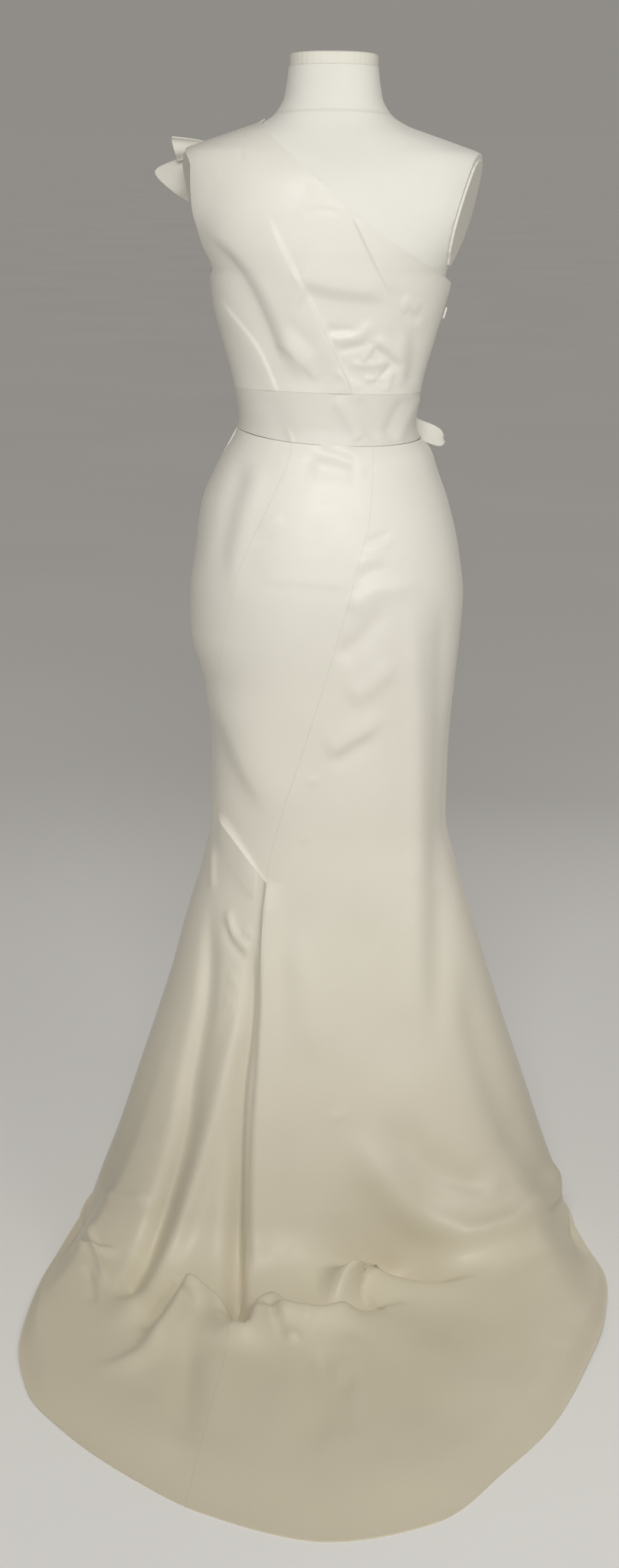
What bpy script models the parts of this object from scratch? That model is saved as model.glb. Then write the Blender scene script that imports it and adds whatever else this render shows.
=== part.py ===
"""Wedding dress on a limbless dress form, in metres, +Z up.

The form stands on the floor plane z = 0 with its pole on the Z axis. The gown's back and its train
face -Y, its front faces +Y, and the bare right shoulder is at +X.
"""
import math

import bmesh
import bpy
import numpy as np
from mathutils import Vector
from mathutils.bvhtree import BVHTree

WALL = 0.002            # thickness of the satin
SEAM_GAP = 0.0003       # space left between two pieces at a seam
WAIST_GAP = 0.0005      # space between the waistband and the skirt under it
CLEAR = 0.0012          # space between the form and the cloth on it
PLATE_GAP = 0.0003      # space between the form and what is mounted on it
RING_STEP = 0.006       # shortest side of a plate's outline

WAIST_TOP = 1.1725      # upper edge of the waistband at the middle
WAIST_LOW = 1.1135      # lower edge of the waistband at the middle
BAND_TILT_TOP = -0.025  # rise of the band's upper edge per metre to the right
BAND_TILT_LOW = -0.045  # rise of the band's lower edge per metre to the right
BAND_HALF = 0.115       # half width of the band from side to side
BAND_DIP = 0.007        # how far the band's lower edge dips at the middle of the back
UNDERARM = 1.305        # top of the side seams
UNDERARM_STAND = 0.004  # how far the bodice stands off at the right underarm
LEFT_STAND = 0.0065     # how far the gown stands off at the left side of the body
LEAST_CLEAR = 0.0006    # least space between the form and the cloth between two points of its grid
CELL_SAMPLES = [(down / 3, right / 3) for down in range(4) for right in range(4)]   # places tried in a cell

NECK_TOP = 1.571        # height of the form's neck where the cap sits
NECK_LEAN = math.radians(4.5)
CAP_HEIGHT = 0.015
CAP_INSET, PLATE_INSET = 0.0005, 0.006     # how far cap and plates lie inside the form's cut
POLE_RADIUS = 0.016
BASE_RADIUS = 0.150
BASE_HEIGHT = 0.018

# Armhole plane of the form: x = ARM_X + ARM_LEAN * y + ARM_SLOPE * (z - ARM_Z)
ARM_X, ARM_Z = 0.170, 1.395
ARM_LEAN, ARM_SLOPE = 0.23, 0.26
ARM_LOW = 1.320         # the armhole cut starts at this height
ARM_PLATE = 0.003

RAY_CENTRE = 1.36       # above this height the cloth on the form is laid out by angle and not by height
RAY_SCALE = 0.17        # metres of layout for each radian above that height


def monotone(x, y):
    """A smooth curve through the rows of a table that never swings past them."""
    x, y = np.asarray(x, float), np.asarray(y, float)
    step = np.diff(y) / np.diff(x)
    inner = [0.0 if a * b <= 0 else 2 * a * b / (a + b) for a, b in zip(step, step[1:])]
    slope = np.array([step[0], *inner, step[-1]])

    def at(q):
        q = np.clip(q, x[0], x[-1])
        i = np.clip(np.searchsorted(x, q) - 1, 0, len(x) - 2)
        width = x[i + 1] - x[i]
        s = (q - x[i]) / width
        rise = s * s * (3 - 2 * s)
        bend = s * (1 - s) * width * ((1 - s) * slope[i] - s * slope[i + 1])
        return y[i] + (y[i + 1] - y[i]) * rise + bend

    return at


def columns(names, rows):
    """One smooth curve for each named column after the first, against the first."""
    values = np.array(sorted(rows), float)
    return {name: monotone(values[:, 0], values[:, i + 1]) for i, name in enumerate(names.split()[1:])}


def smoothstep(low, high, q):
    s = np.clip((q - low) / (high - low), 0.0, 1.0)
    return s * s * (3 - 2 * s)


# The form's level sections
FORM = columns("height half_width back front", [
    (0.780, 0.150, 0.100, 0.085),
    (0.800, 0.165, 0.111, 0.094),
    (0.850, 0.171, 0.118, 0.099),
    (0.900, 0.172, 0.120, 0.100),
    (0.960, 0.166, 0.117, 0.098),
    (1.020, 0.151, 0.106, 0.094),
    (1.080, 0.128, 0.090, 0.087),
    (1.130, 0.109, 0.079, 0.083),
    (1.180, 0.116, 0.078, 0.090),
    (1.240, 0.132, 0.088, 0.112),
    (1.278, 0.1420, 0.096, 0.128),
    (1.304, 0.1455, 0.101, 0.130),
    (1.320, 0.1468, 0.1030, 0.128),
    (1.335, 0.1545, 0.1043, 0.126),
    (1.352, 0.1660, 0.1052, 0.122),
    (1.395, 0.190, 0.1032, 0.106),
    (1.420, 0.195, 0.0990, 0.091),
    (1.440, 0.197, 0.0938, 0.080),
    (1.455, 0.196, 0.0880, 0.070),
    (1.467, 0.188, 0.0825, 0.063),
    (1.478, 0.160, 0.0765, 0.059),
    (1.491, 0.122, 0.0695, 0.056),
    (1.501, 0.094, 0.064, 0.056),
    (1.514, 0.074, 0.059, 0.058),
    (1.535, 0.062, 0.055, 0.060),
    (1.590, 0.0545, 0.052, 0.060),
])
FORM_SQUARE = 2.3

# The gown's level sections below the waistband, measured to the cloth's outer face
OUT = CLEAR + WALL
SKIRT = columns("height left right back front", [
    (0.000, 0.336, 0.350, 0.196, 0.285),
    (0.070, 0.312, 0.331, 0.197, 0.258),
    (0.140, 0.286, 0.306, 0.192, 0.230),
    (0.220, 0.260, 0.279, 0.180, 0.198),
    (0.300, 0.234, 0.251, 0.164, 0.170),
    (0.380, 0.209, 0.225, 0.148, 0.145),
    (0.460, 0.188, 0.200, 0.133, 0.124),
    (0.540, 0.165, 0.175, 0.122, 0.110),
    (0.600, 0.1545, 0.162, 0.117, 0.105),
    (0.690, 0.154, 0.163, 0.117, 0.104),
    (0.780, 0.163, 0.169, 0.122, 0.106),
    (0.850, 0.181, 0.175, 0.128, 0.108),
    (0.900, 0.182, 0.178, 0.130, 0.109),
    (0.960, 0.175, 0.171, 0.126, 0.107),
    (1.020, 0.167, 0.157, 0.115, 0.103),
    (1.065, 0.149, 0.141, 0.102, 0.097),
    (1.090, 0.1355, 0.1325, 0.0945, 0.0925),
    *[(height, FORM["half_width"](height) + OUT + LEFT_STAND, FORM["half_width"](height) + OUT,
       FORM["back"](height) + OUT, FORM["front"](height) + OUT) for height in (1.112, 1.125)],
])
SKIRT_TOP = 1.120
SKIRT_SQUARE = 2.3

# The edge of the train on the floor, against the direction round the pole (-90 is the back)
HEM = columns("degrees hem_x hem_y", [
    (-180, -0.344, 0.000),
    (-172, -0.359, -0.090),
    (-160, -0.377, -0.215),
    (-148, -0.384, -0.365),
    (-136, -0.361, -0.500),
    (-124, -0.303, -0.603),
    (-112, -0.215, -0.707),
    (-101, -0.130, -0.780),
    (-90, 0.004, -0.834),
    (-79, 0.126, -0.792),
    (-68, 0.207, -0.684),
    (-56, 0.276, -0.570),
    (-44, 0.330, -0.425),
    (-32, 0.366, -0.295),
    (-20, 0.382, -0.175),
    (-8, 0.366, -0.070),
    (0, 0.356, 0.000),
])
HEM_FRONT = 1.02        # the front hem reaches this much past the skirt's section at the floor
ELBOW, ELBOW_LIP = 0.070, 0.012    # softness of the bend on to the floor: all round, and under the lip
LIP_X, LIP_HALF = 0.09, 0.07       # where the lip is, to the right of the middle
TRAIN_AIR = 0.009      # how high the middle of the train lies above the floor

# Seams of the skirt, each as its distance to the right of the middle against height
SEAM_LEFT = columns("height x", [
    (0.560, -0.1525), (0.640, -0.1520), (0.700, -0.149), (0.780, -0.143), (0.850, -0.136),
    (0.934, -0.118), (0.990, -0.097), (1.040, -0.073), (1.080, -0.055), (1.120, -0.045)])
SEAM_BACK = columns("height x", [
    (0.000, -0.097), (0.212, -0.093), (0.381, -0.085), (0.540, -0.077), (0.600, -0.065), (0.700, -0.035),
    (0.846, 0.008), (0.909, 0.025), (0.970, 0.040), (1.016, 0.051), (1.080, 0.0545), (1.120, 0.0555)])
GODET_LEFT, GODET_RIGHT = 0.625, 0.534      # height of the godet's top edge at its two ends

# Neckline at the back and at the front, as x and z on the body
NECK_POINT = (-0.084, 1.5045)
NECKLINE_BACK = [(-0.060, 1.472), (-0.011, 1.429), (0.037, 1.386), (0.082, 1.356), (0.128, 1.325)]
ARMHOLE_BACK = [(-0.1490, 1.334), (-0.1600, 1.355), (-0.1690, 1.380), (-0.1745, 1.405), (-0.1760, 1.430),
                (-0.1765, 1.452)]
ARMHOLE_FRONT = [(-0.1480, 1.334), (-0.1590, 1.355), (-0.1670, 1.380), (-0.1700, 1.405), (-0.1710, 1.430),
                 (-0.1730, 1.450)]
SHOULDER_TIP = 1.4715   # height of the strap's outer end at the shoulder seam
NECKLINE_FRONT = [(-0.062, 1.466), (-0.020, 1.425), (0.030, 1.392), (0.082, 1.360), (0.124, 1.327)]

# Folds, each along a path of places: x, then height on the body or drop on the skirt, which is the height of
# the hanging cloth above the floor, or minus how far out it lies on it. Paths run down or to the right.
# In millimetres: height at the start and at the end (minus is a trough), width of the slope on the right
# or upper side at both ends, width on the left or lower side at both ends. Then the shares of the path over
# which the fold comes in and dies out.
BODICE_BACK_FOLDS = [
    (3.2, 3.6, 9, 9, 22, 24, .14, .1, [(-.0848, 1.4008), (-.0490, 1.3287), (-.0020, 1.2340), (.0300, 1.166)]),
    (3.5, 5.5, 40, 28, 14, 13, .15, .12, [(-.166, 1.392), (-.1519, 1.3827), (-.1175, 1.3539), (-.0933, 1.3275),
                                          (-.0759, 1.2977), (-.0624, 1.2672), (-.0483, 1.2295), (-.029, 1.188)]),
    (2.6, 2.8, 9, 9, 16, 18, .15, .1, [(-.1394, 1.2919), (-.0934, 1.2314), (-.0650, 1.168)]),
    (1.6, 2.2, 14, 14, 9, 9, .2, .2, [(.0233, 1.3972), (.0353, 1.3724), (.0527, 1.3376), (.0770, 1.291)]),
    (2.4, 2.2, 30, 26, 14, 14, .15, .25, [(-.0522, 1.3268), (-.0320, 1.3170), (.0023, 1.3091), (.0723, 1.3000)]),
    (2.4, 2.0, 12, 12, 12, 12, .2, .25, [(-.004, 1.2385), (.0132, 1.2435), (.0300, 1.2450), (.0528, 1.2660)]),
    (2.2, 1.8, 12, 12, 12, 12, .2, .3, [(.0187, 1.2150), (.0379, 1.2095), (.0725, 1.2310), (.0920, 1.2094)]),
]
BODICE_FRONT_FOLDS = [
    (3.6, 3.4, 26, 22, 10, 10, .12, .1, [(-.105, 1.420), (-.075, 1.345), (-.035, 1.262), (.006, 1.168)]),
    (3.4, 3.2, 24, 20, 10, 10, .12, .1, [(-.040, 1.425), (-.005, 1.345), (.032, 1.262), (.064, 1.168)]),
    (3.0, 3.0, 20, 18, 10, 10, .14, .1, [(.022, 1.385), (.058, 1.310), (.088, 1.235), (.104, 1.168)]),
    (2.8, 2.6, 18, 16, 10, 10, .15, .1, [(-.140, 1.340), (-.112, 1.268), (-.070, 1.168)]),
]
SKIRT_BACK_FOLDS = [
    # down the sides
    (-4.2, -6.0, 14, 20, 14, 20, .15, .2, [(.1451, .9304), (.1531, .6776), (.1537, .4774), (.1497, .2828)]),
    (3.2, 4.2, 14, 18, 14, 18, .2, .3, [(.106, .94), (.117, .70), (.121, .50), (.122, .33)]),
    (-2.6, -2.2, 16, 16, 16, 16, .2, .3, [(-.108, 1.090), (-.132, 1.010), (-.146, .930)]),
    (5.0, 5.0, 42, 36, 24, 22, .25, .1, [(-.146, .800), (-.1378, .7714), (-.1172, .7154), (-.0961, .6700),
                                         (-.0861, .6549), (-.0607, .612)]),
    # the godet
    (-5.0, -22, 16, 30, 12, 18, .15, .1, [(-.1490, .5048), (-.1546, .4563), (-.1572, .4179), (-.1615, .3675),
                                          (-.1700, .3154), (-.180, .265), (-.190, .190), (-.210, .100),
                                          (-.228, .020), (-.243, -.060), (-.264, -.145)]),
    (4.0, 20, 14, 22, 16, 26, .2, .25, [(-.1058, .4255), (-.1078, .3827), (-.1132, .3458), (-.1226, .310),
                                        (-.1400, .235), (-.1596, .1601), (-.1915, .0496), (-.2181, -.0407),
                                        (-.2437, -.1422), (-.2752, -.2304)]),
    (-7.0, -20, 11, 13, 13, 20, .1, .06, [(-.0948, .4575), (-.0972, .3771), (-.1009, .3258), (-.1090, .255),
                                          (-.1126, .1513), (-.1129, .0664), (-.1102, -.0325),
                                          (-.1076, -.1409), (-.1050, -.196)]),
    (6.0, 5.0, 18, 22, 12, 13, .06, .12, [(-.0740, .537), (-.0790, .490), (-.0815, .445), (-.0815, .380),
                                          (-.0835, .328), (-.0855, .287), (-.0900, .2057), (-.0915, .0985),
                                          (-.0895, -.030)]),
    # the sweep of the back panel
    (-4.0, -7.0, 30, 40, 30, 40, .3, .3, [(.0147, .5292), (.0457, .4578), (.0778, .357), (.1396, .2632)]),
    (3.0, 4.0, 24, 26, 24, 30, .3, .3, [(-.0451, .4872), (-.0237, .3878), (-.0039, .2884)]),
    (-5.0, -9.0, 20, 26, 20, 26, .3, .2, [(.1802, .4228), (.2244, .266), (.2798, .1238)]),
    (8.0, 12, 22, 24, 32, 30, .3, .15, [(.0230, .2170), (.0667, .1701), (.1190, .1069), (.1667, .0709),
                                        (.2095, .0464), (.232, .044)]),
    (10, 10, 22, 20, 34, 30, .2, .0, [(.1950, .0504), (.2521, .0604), (.2761, .0749), (.3074, .0857),
                                      (.345, .104)]),
    (-6.0, -8.0, 26, 26, 20, 20, .3, .2, [(.075, .235), (.130, .170), (.190, .128), (.235, .112)]),
    # where the skirt breaks on the floor
    (34, 12, 20, 22, 40, 45, .16, .45, [(.0210, -.110), (.0185, -.0737), (.0180, -.0393), (.0225, -.0150),
                                       (.0336, -.0160), (.0580, -.0325), (.0850, -.050), (.115, -.057),
                                       (.1487, -.0572), (.1814, -.050), (.2262, -.0337), (.270, -.020)]),
    (9.0, 14, 18, 18, 26, 28, .1, .1, [(-.1809, -.0426), (-.1701, -.0575), (-.1534, -.0839), (-.1313, -.1104),
                                       (-.1189, -.1362), (-.1110, -.1849), (-.0988, -.1911), (-.0861, -.1659),
                                       (-.0826, -.1209), (-.0649, -.0995), (-.0518, -.1177), (-.0367, -.1478),
                                       (-.0092, -.1447), (.0218, -.1328), (.0240, -.100)]),
    (8.0, 8.0, 20, 20, 60, 60, .2, .2, [(-.160, -.110), (-.110, -.165), (-.060, -.140), (-.010, -.155),
                                        (.060, -.120), (.140, -.100)]),
    (11, 7.0, 18, 20, 16, 16, .15, .3, [(-.1727, -.0514), (-.1871, -.1253), (-.2091, -.1960),
                                        (-.2333, -.2475)]),
    (5.0, 4.0, 16, 16, 20, 20, .3, .3, [(-.3126, .068), (-.2740, .0733), (-.2290, .0899)]),
    (5.0, 4.0, 16, 16, 20, 20, .25, .3, [(-.3425, -.0362), (-.3029, -.0241), (-.2680, -.0084)]),
    # the train
    (-7.0, -4.0, 18, 20, 18, 20, .3, .3, [(-.1697, -.1685), (-.1674, -.3216), (-.1610, -.4853)]),
    (4.0, 2.5, 18, 20, 18, 20, .3, .3, [(-.136, -.20), (-.132, -.31), (-.126, -.43)]),
    (-7.5, -4.0, 16, 18, 16, 18, .2, .3, [(-.0078, -.1823), (.0028, -.3068), (-.0083, -.4030),
                                          (-.0124, -.4945)]),
    (4.0, 2.5, 16, 18, 16, 18, .2, .3, [(.032, -.17), (.040, -.27), (.034, -.37)]),
    (3.0, 2.0, 18, 20, 18, 20, .3, .3, [(-.050, -.26), (-.052, -.35), (-.048, -.46)]),
    (3.5, 3.0, 30, 34, 30, 34, .3, .3, [(.12, -.16), (.16, -.28), (.17, -.40)]),
    (-3.5, -3.0, 24, 26, 24, 26, .3, .3, [(.085, -.17), (.10, -.29), (.10, -.42)]),
    (-3.0, -2.5, 24, 26, 24, 26, .3, .3, [(.215, -.12), (.235, -.21), (.225, -.31)]),
    (3.0, 2.5, 24, 26, 24, 26, .3, .3, [(-.225, -.33), (-.20, -.42), (-.17, -.50)]),
]
WALL_STEP_ANGLE, WALL_STEP_WAY = 0.012, 0.005    # patch over which the wall's direction is found
PATH_STEPS = 14         # points drawn between two places of a fold's path
SIDE_FADE = 0.20        # folds fade over this turn, in radians, at the side seams
BODICE_FADE = 0.16
HEM_FADE = 1.90         # way down from which folds fade towards the hem

# Flutes of the skirt's front: direction at their top and at the floor in degrees, height of their top,
# half width at the top and at the floor, depth at the floor (minus is a valley)
FLUTES = [
    (40, 38, 0.500, 0.030, 0.055, 0.016),
    (62, 64, 0.460, 0.028, 0.050, -0.014),
    (88, 90, 0.500, 0.030, 0.055, 0.016),
    (114, 116, 0.450, 0.028, 0.050, -0.014),
    (140, 142, 0.500, 0.030, 0.055, 0.016),
]


# The two flaps of the shoulder ruffle: share along the flap, root on the strap's front, free edge
RUFFLE_UPPER = [
    (0.00, -0.146, 1.4690, -0.2060, 0.040, 1.4850),
    (0.50, -0.155, 1.4620, -0.2045, 0.050, 1.4700),
    (1.00, -0.160, 1.4540, -0.1990, 0.060, 1.4540),
]
RUFFLE_LOWER = [
    (0.00, -0.160, 1.4480, -0.2010, 0.072, 1.4570),
    (0.30, -0.159, 1.4370, -0.2290, 0.080, 1.4390),
    (0.65, -0.156, 1.4220, -0.2080, 0.090, 1.4160),
    (1.00, -0.152, 1.4080, -0.1860, 0.096, 1.4020),
]
RUFFLE_WALL = 0.0015
LOOP_SPARE = 0.0004     # further space under the waist loop's root
ROOT_SPARE = 0.0014     # further space under the root of a ruffle or loop, where the cloth under it curves

LOOP_FROM, LOOP_HEIGHT = 32, 1.1260     # direction in degrees and height of the loop's root on the band
LOOP_TURN = 8                           # direction in degrees in which the loop points
LOOP_LENGTH, LOOP_THICK, LOOP_TALL, LOOP_SAG = 0.062, 0.015, 0.028, 0.028
LOOP_ROUND, LOOP_FALL = 0.8, 0.6         # how the loop's end rounds, and how it falls from its root
TAB_AT, TAB_WIDE = -3, 4                # direction and width of the side tab, in degrees
TAB_LOW, TAB_HIGH = 1.264, 1.277


def form_point(angle, height):
    """Point of the form's section in a direction (radians, -pi/2 is the back) at a height."""
    c, s = np.cos(angle), np.sin(angle)
    deep = np.where(s < 0, FORM["back"](height), FORM["front"](height))
    x = FORM["half_width"](height) * np.sign(c) * np.abs(c) ** (2 / FORM_SQUARE)
    y = deep * np.sign(s) * np.abs(s) ** (2 / FORM_SQUARE)
    return np.stack(np.broadcast_arrays(x, y, height), axis=-1)


def skirt_section(angle, height):
    """Point of the skirt's plain section, as x and y."""
    c, s = np.cos(angle), np.sin(angle)
    wide = np.where(c < 0, SKIRT["left"](height), SKIRT["right"](height))
    deep = np.where(s < 0, SKIRT["back"](height), SKIRT["front"](height))
    x = wide * np.sign(c) * np.abs(c) ** (2 / SKIRT_SQUARE)
    y = deep * np.sign(s) * np.abs(s) ** (2 / SKIRT_SQUARE)
    return x, y


def skirt_angle(x, height):
    """Direction in which the back of the skirt's section has a given x."""
    wide = np.where(x < 0, SKIRT["left"](height), SKIRT["right"](height))
    c = np.sign(x) * np.abs(np.clip(x / wide, -1, 1)) ** (SKIRT_SQUARE / 2)
    return -np.arccos(c)


def hem_point(angle):
    """Point of the hem on the floor."""
    x, y = skirt_section(angle, 0.0)
    degrees = np.degrees(angle)
    back = degrees <= 0
    hem_x = np.where(back, HEM["hem_x"](degrees), x * HEM_FRONT)
    hem_y = np.where(back, HEM["hem_y"](degrees), y * HEM_FRONT)
    return hem_x, hem_y


def skirt_base(angle, way):
    """Plain surface of the skirt: way 0 to 1 hangs from the waist, 1 to 2 lies on the floor."""
    height = SKIRT_TOP * (1 - np.clip(way, 0, 1))
    lie = np.clip(way - 1, 0, 1)
    x, y = skirt_section(angle, height)
    foot_x, foot_y = skirt_section(angle, 0.0)
    hem_x, hem_y = hem_point(angle)
    reach = np.hypot(hem_x - foot_x, hem_y - foot_y)
    lip = np.exp(-((x - LIP_X) / LIP_HALF) ** 2)
    soft = (ELBOW + (ELBOW_LIP - ELBOW) * lip) * smoothstep(0.02, 0.25, reach) + 1e-4
    past = (reach * lie - height) / soft
    out = soft * np.logaddexp(0, past) / reach
    x, y = x + (hem_x - foot_x) * out, y + (hem_y - foot_y) * out
    air = smoothstep(0.05, 0.3, reach) * smoothstep(0.0, 0.25, lie) * (1 - smoothstep(0.80, 1.0, lie))
    z = WALL + soft * np.logaddexp(0, -past) + TRAIN_AIR * air
    return np.stack(np.broadcast_arrays(x, y, z), axis=-1)


def surface_normal(surface, angle, way, step_angle=1e-3, step_way=1e-3):
    """Outward normal of a surface given by direction and way down."""
    way = np.clip(way, step_way, 2 - step_way)
    across = surface(angle + step_angle, way) - surface(angle - step_angle, way)
    down = surface(angle, way + step_way) - surface(angle, way - step_way)
    normal = np.cross(down, across)
    return normal / np.linalg.norm(normal, axis=-1, keepdims=True)


def flute_lift(angle, way):
    """How far the front's flutes move the hanging skirt out along its normal."""
    hang = np.clip(way, 0, 1)
    height = SKIRT_TOP * (1 - hang)
    radius = np.hypot(*skirt_section(angle, height))
    lift = np.zeros(np.broadcast(angle, way).shape)
    for top_deg, floor_deg, top, narrow, broad, depth in FLUTES:
        run = np.clip((top - height) / top, 0, 1)
        centre = np.radians(top_deg + (floor_deg - top_deg) * run)
        half = narrow + (broad - narrow) * run
        bell = np.exp(-((angle - centre) * radius / half) ** 2)
        fade = 1 - smoothstep(0.97, 1.0 if depth < 0 else 1.35, way)
        lift = lift + depth * smoothstep(0, 1, run) * bell * fade
    return lift


def unit(vectors):
    return vectors / np.linalg.norm(vectors, axis=-1, keepdims=True)


def fold_lift(x, t, folds):
    """How far the folds of a table move the cloth out at each place."""
    lift = np.zeros(x.shape)
    for high0, high1, right0, right1, left0, left1, come_in, die_out, path in folds:
        path = np.asarray(path, float)
        run = np.concatenate([[0], np.cumsum(np.hypot(*np.diff(path, axis=0).T))])
        share = np.linspace(0, 1, PATH_STEPS * (len(path) - 1) + 1)
        line = np.stack([monotone(run / run[-1], path[:, k])(share) for k in (0, 1)], axis=-1)
        forward = unit(np.gradient(line, axis=0))
        spot = np.stack([x, t], axis=-1)
        nearest = np.argmin(((spot[..., None, :] - line) ** 2).sum(axis=-1), axis=-1)
        step, way = spot - line[nearest], forward[nearest]
        along = np.clip(share[nearest] + (step * way).sum(axis=-1) / run[-1], 0, 1)
        beside = step[..., 1] * way[..., 0] - step[..., 0] * way[..., 1]
        right, left = right0 + (right1 - right0) * along, left0 + (left1 - left0) * along
        width = np.where(beside > 0, right, left) / 1000
        fade = np.ones(x.shape)
        if come_in:
            fade = fade * smoothstep(0, come_in, along)
        if die_out:
            fade = fade * (1 - smoothstep(1 - die_out, 1, along))
        lift += (high0 + (high1 - high0) * along) / 1000 * np.exp(-(beside / width) ** 2) * fade
    return lift


def from_side(angle):
    """Turn between a direction and the nearest side seam."""
    return math.pi / 2 - np.abs(np.abs(angle) - math.pi / 2)


def skirt_drop(angle, way):
    """Height of the hanging cloth above the floor, or minus how far out it lies on it."""
    x, y = skirt_section(angle, 0.0)
    hem_x, hem_y = hem_point(angle)
    return SKIRT_TOP * (1 - np.clip(way, 0, 1)) - np.hypot(hem_x - x, hem_y - y) * np.clip(way - 1, 0, 1)


def skirt_surface(angle, way):
    """Outer face of the skirt with its folds and flutes."""
    point = skirt_base(angle, way)
    normal = surface_normal(skirt_base, angle, way)
    fade = smoothstep(0.0, SIDE_FADE, from_side(angle)) * (1 - smoothstep(HEM_FADE, 2.0, way))
    back = fold_lift(point[..., 0], skirt_drop(angle, way), SKIRT_BACK_FOLDS) * fade
    lift = np.where(angle < 0, back, flute_lift(angle, way))
    point = point + normal * lift[..., None]
    return np.stack([point[..., 0], point[..., 1], np.maximum(point[..., 2], WALL)], axis=-1)


def skirt_shell(angle, way):
    """Outer and inner points of a skirt panel laid out on a grid."""
    outer = skirt_surface(angle, way)
    normal = surface_normal(skirt_surface, angle, way, WALL_STEP_ANGLE, WALL_STEP_WAY)
    inner = outer - normal * WALL
    inner[..., 2] = np.maximum(inner[..., 2], 0.0)
    return outer, inner


def seam_shift(angle, way):
    """Turn about the pole that moves a point half a seam gap along the skirt."""
    step = 1e-3
    side = skirt_base(angle + step, way) - skirt_base(angle - step, way)
    return SEAM_GAP / 2 / (np.linalg.norm(side, axis=-1) / (2 * step))


def cloth_body(name, outer, inner, colour):
    """Closed shell between two grids of points of the same size."""
    rows, cols = outer.shape[:2]
    mesh = bmesh.new()
    layers = [[[mesh.verts.new(p) for p in row] for row in layer] for layer in (outer, inner)]
    for layer in layers:
        for i in range(rows - 1):
            for j in range(cols - 1):
                mesh.faces.new((layer[i][j], layer[i + 1][j], layer[i + 1][j + 1], layer[i][j + 1]))
    rim = [(i, 0) for i in range(rows)] + [(rows - 1, j) for j in range(1, cols)]
    rim += [(i, cols - 1) for i in range(rows - 2, -1, -1)] + [(0, j) for j in range(cols - 2, 0, -1)]
    for (i, j), (k, m) in zip(rim, rim[1:] + rim[:1]):
        mesh.faces.new((layers[0][i][j], layers[0][k][m], layers[1][k][m], layers[1][i][j]))
    return finish(name, mesh, colour, SATIN_ROUGH)


def finish(name, mesh, colour, roughness, metallic=0.0, smooth=40):
    """Makes a named object with its own material from a closed mesh."""
    bmesh.ops.recalc_face_normals(mesh, faces=mesh.faces)
    bmesh.ops.triangulate(mesh, faces=[face for face in mesh.faces if len(face.verts) == 4])
    data = bpy.data.meshes.new(name)
    mesh.to_mesh(data)
    mesh.free()
    data.shade_smooth()
    data.set_sharp_from_angle(angle=math.radians(smooth))
    material = bpy.data.materials.new(name)
    material.use_nodes = True
    shader = material.node_tree.nodes["Principled BSDF"]
    shader.inputs["Base Color"].default_value = (*colour, 1.0)
    shader.inputs["Roughness"].default_value = roughness
    shader.inputs["Metallic"].default_value = metallic
    data.materials.append(material)
    thing = bpy.data.objects.new(name, data)
    bpy.context.scene.collection.objects.link(thing)
    return thing


SATIN = (0.74, 0.70, 0.60)
SATIN_ROUGH = 0.42
COVER = (0.80, 0.78, 0.70)
ENAMEL = (0.78, 0.76, 0.70)


# The dress form

def torso_mesh():
    """Lofted body of the form, not yet cut at the armholes and the neck."""
    heights = [0.780, 0.790, 0.805, 0.845, 0.90, 0.96, 1.02, 1.06, 1.09, 1.12, 1.15,
               1.18, 1.21, 1.24, 1.268, 1.295, ARM_LOW, 1.335, 1.352, 1.372, 1.395, 1.42, 1.44,
               1.455, 1.467, 1.478, 1.491, 1.501, 1.514, 1.535, 1.560, 1.590]
    around = 40
    mesh = bmesh.new()
    rings = []
    for height in heights:
        angles = np.linspace(-math.pi, math.pi, around, endpoint=False)
        rings.append([mesh.verts.new(p) for p in form_point(angles, np.full(around, height))])
    for low, high in zip(rings, rings[1:]):
        for i in range(around):
            k = (i + 1) % around
            mesh.faces.new((low[i], low[k], high[k], high[i]))
    mesh.faces.new(rings[0])
    mesh.faces.new(rings[-1])
    bmesh.ops.recalc_face_normals(mesh, faces=mesh.faces)
    bmesh.ops.triangulate(mesh, faces=[face for face in mesh.faces if len(face.verts) == 4])
    return mesh


def cut_flat(mesh, point, normal):
    """Cuts away what lies beyond a plane, above the underarm, and closes the cut with one flat face."""
    faces = [face for face in mesh.faces if face.calc_center_median().z > ARM_LOW]
    edges = {edge for face in faces for edge in face.edges}
    verts = {vert for face in faces for vert in face.verts}
    geometry = [*verts, *edges, *faces]
    cut = bmesh.ops.bisect_plane(mesh, geom=geometry, plane_co=point, plane_no=normal, clear_outer=True,
                                 dist=1e-6)
    edges = [item for item in cut["geom_cut"] if isinstance(item, bmesh.types.BMEdge)]
    bmesh.ops.contextual_create(mesh, geom=edges)


def arm_plane(side):
    """A point and the outward normal of the armhole plane at one side (1 is right)."""
    return Vector((side * ARM_X, 0, ARM_Z)), Vector((side, -ARM_LEAN, -ARM_SLOPE)).normalized()


def neck_plane():
    return Vector((0, 0, NECK_TOP)), Vector((0, math.sin(NECK_LEAN), math.cos(NECK_LEAN)))


def flat_disc(name, ring, offset, thick, normal, colour, roughness, rim=0.0012):
    """A plate of a given outline, set off along its normal, with its outer rim softened."""
    mesh = bmesh.new()
    centre = sum(ring, Vector()) / len(ring)
    low = [mesh.verts.new(p + normal * offset) for p in ring]
    wide = [mesh.verts.new(p + normal * (offset + thick - rim)) for p in ring]
    top = [mesh.verts.new(centre + (p - centre) * (1 - rim / (p - centre).length) + normal * (offset + thick))
           for p in ring]
    count = len(ring)
    for a, b in ((low, wide), (wide, top)):
        for i in range(count):
            k = (i + 1) % count
            mesh.faces.new((a[i], a[k], b[k], b[i]))
    mesh.faces.new(low)
    mesh.faces.new(top)
    return finish(name, mesh, colour, roughness)


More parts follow.
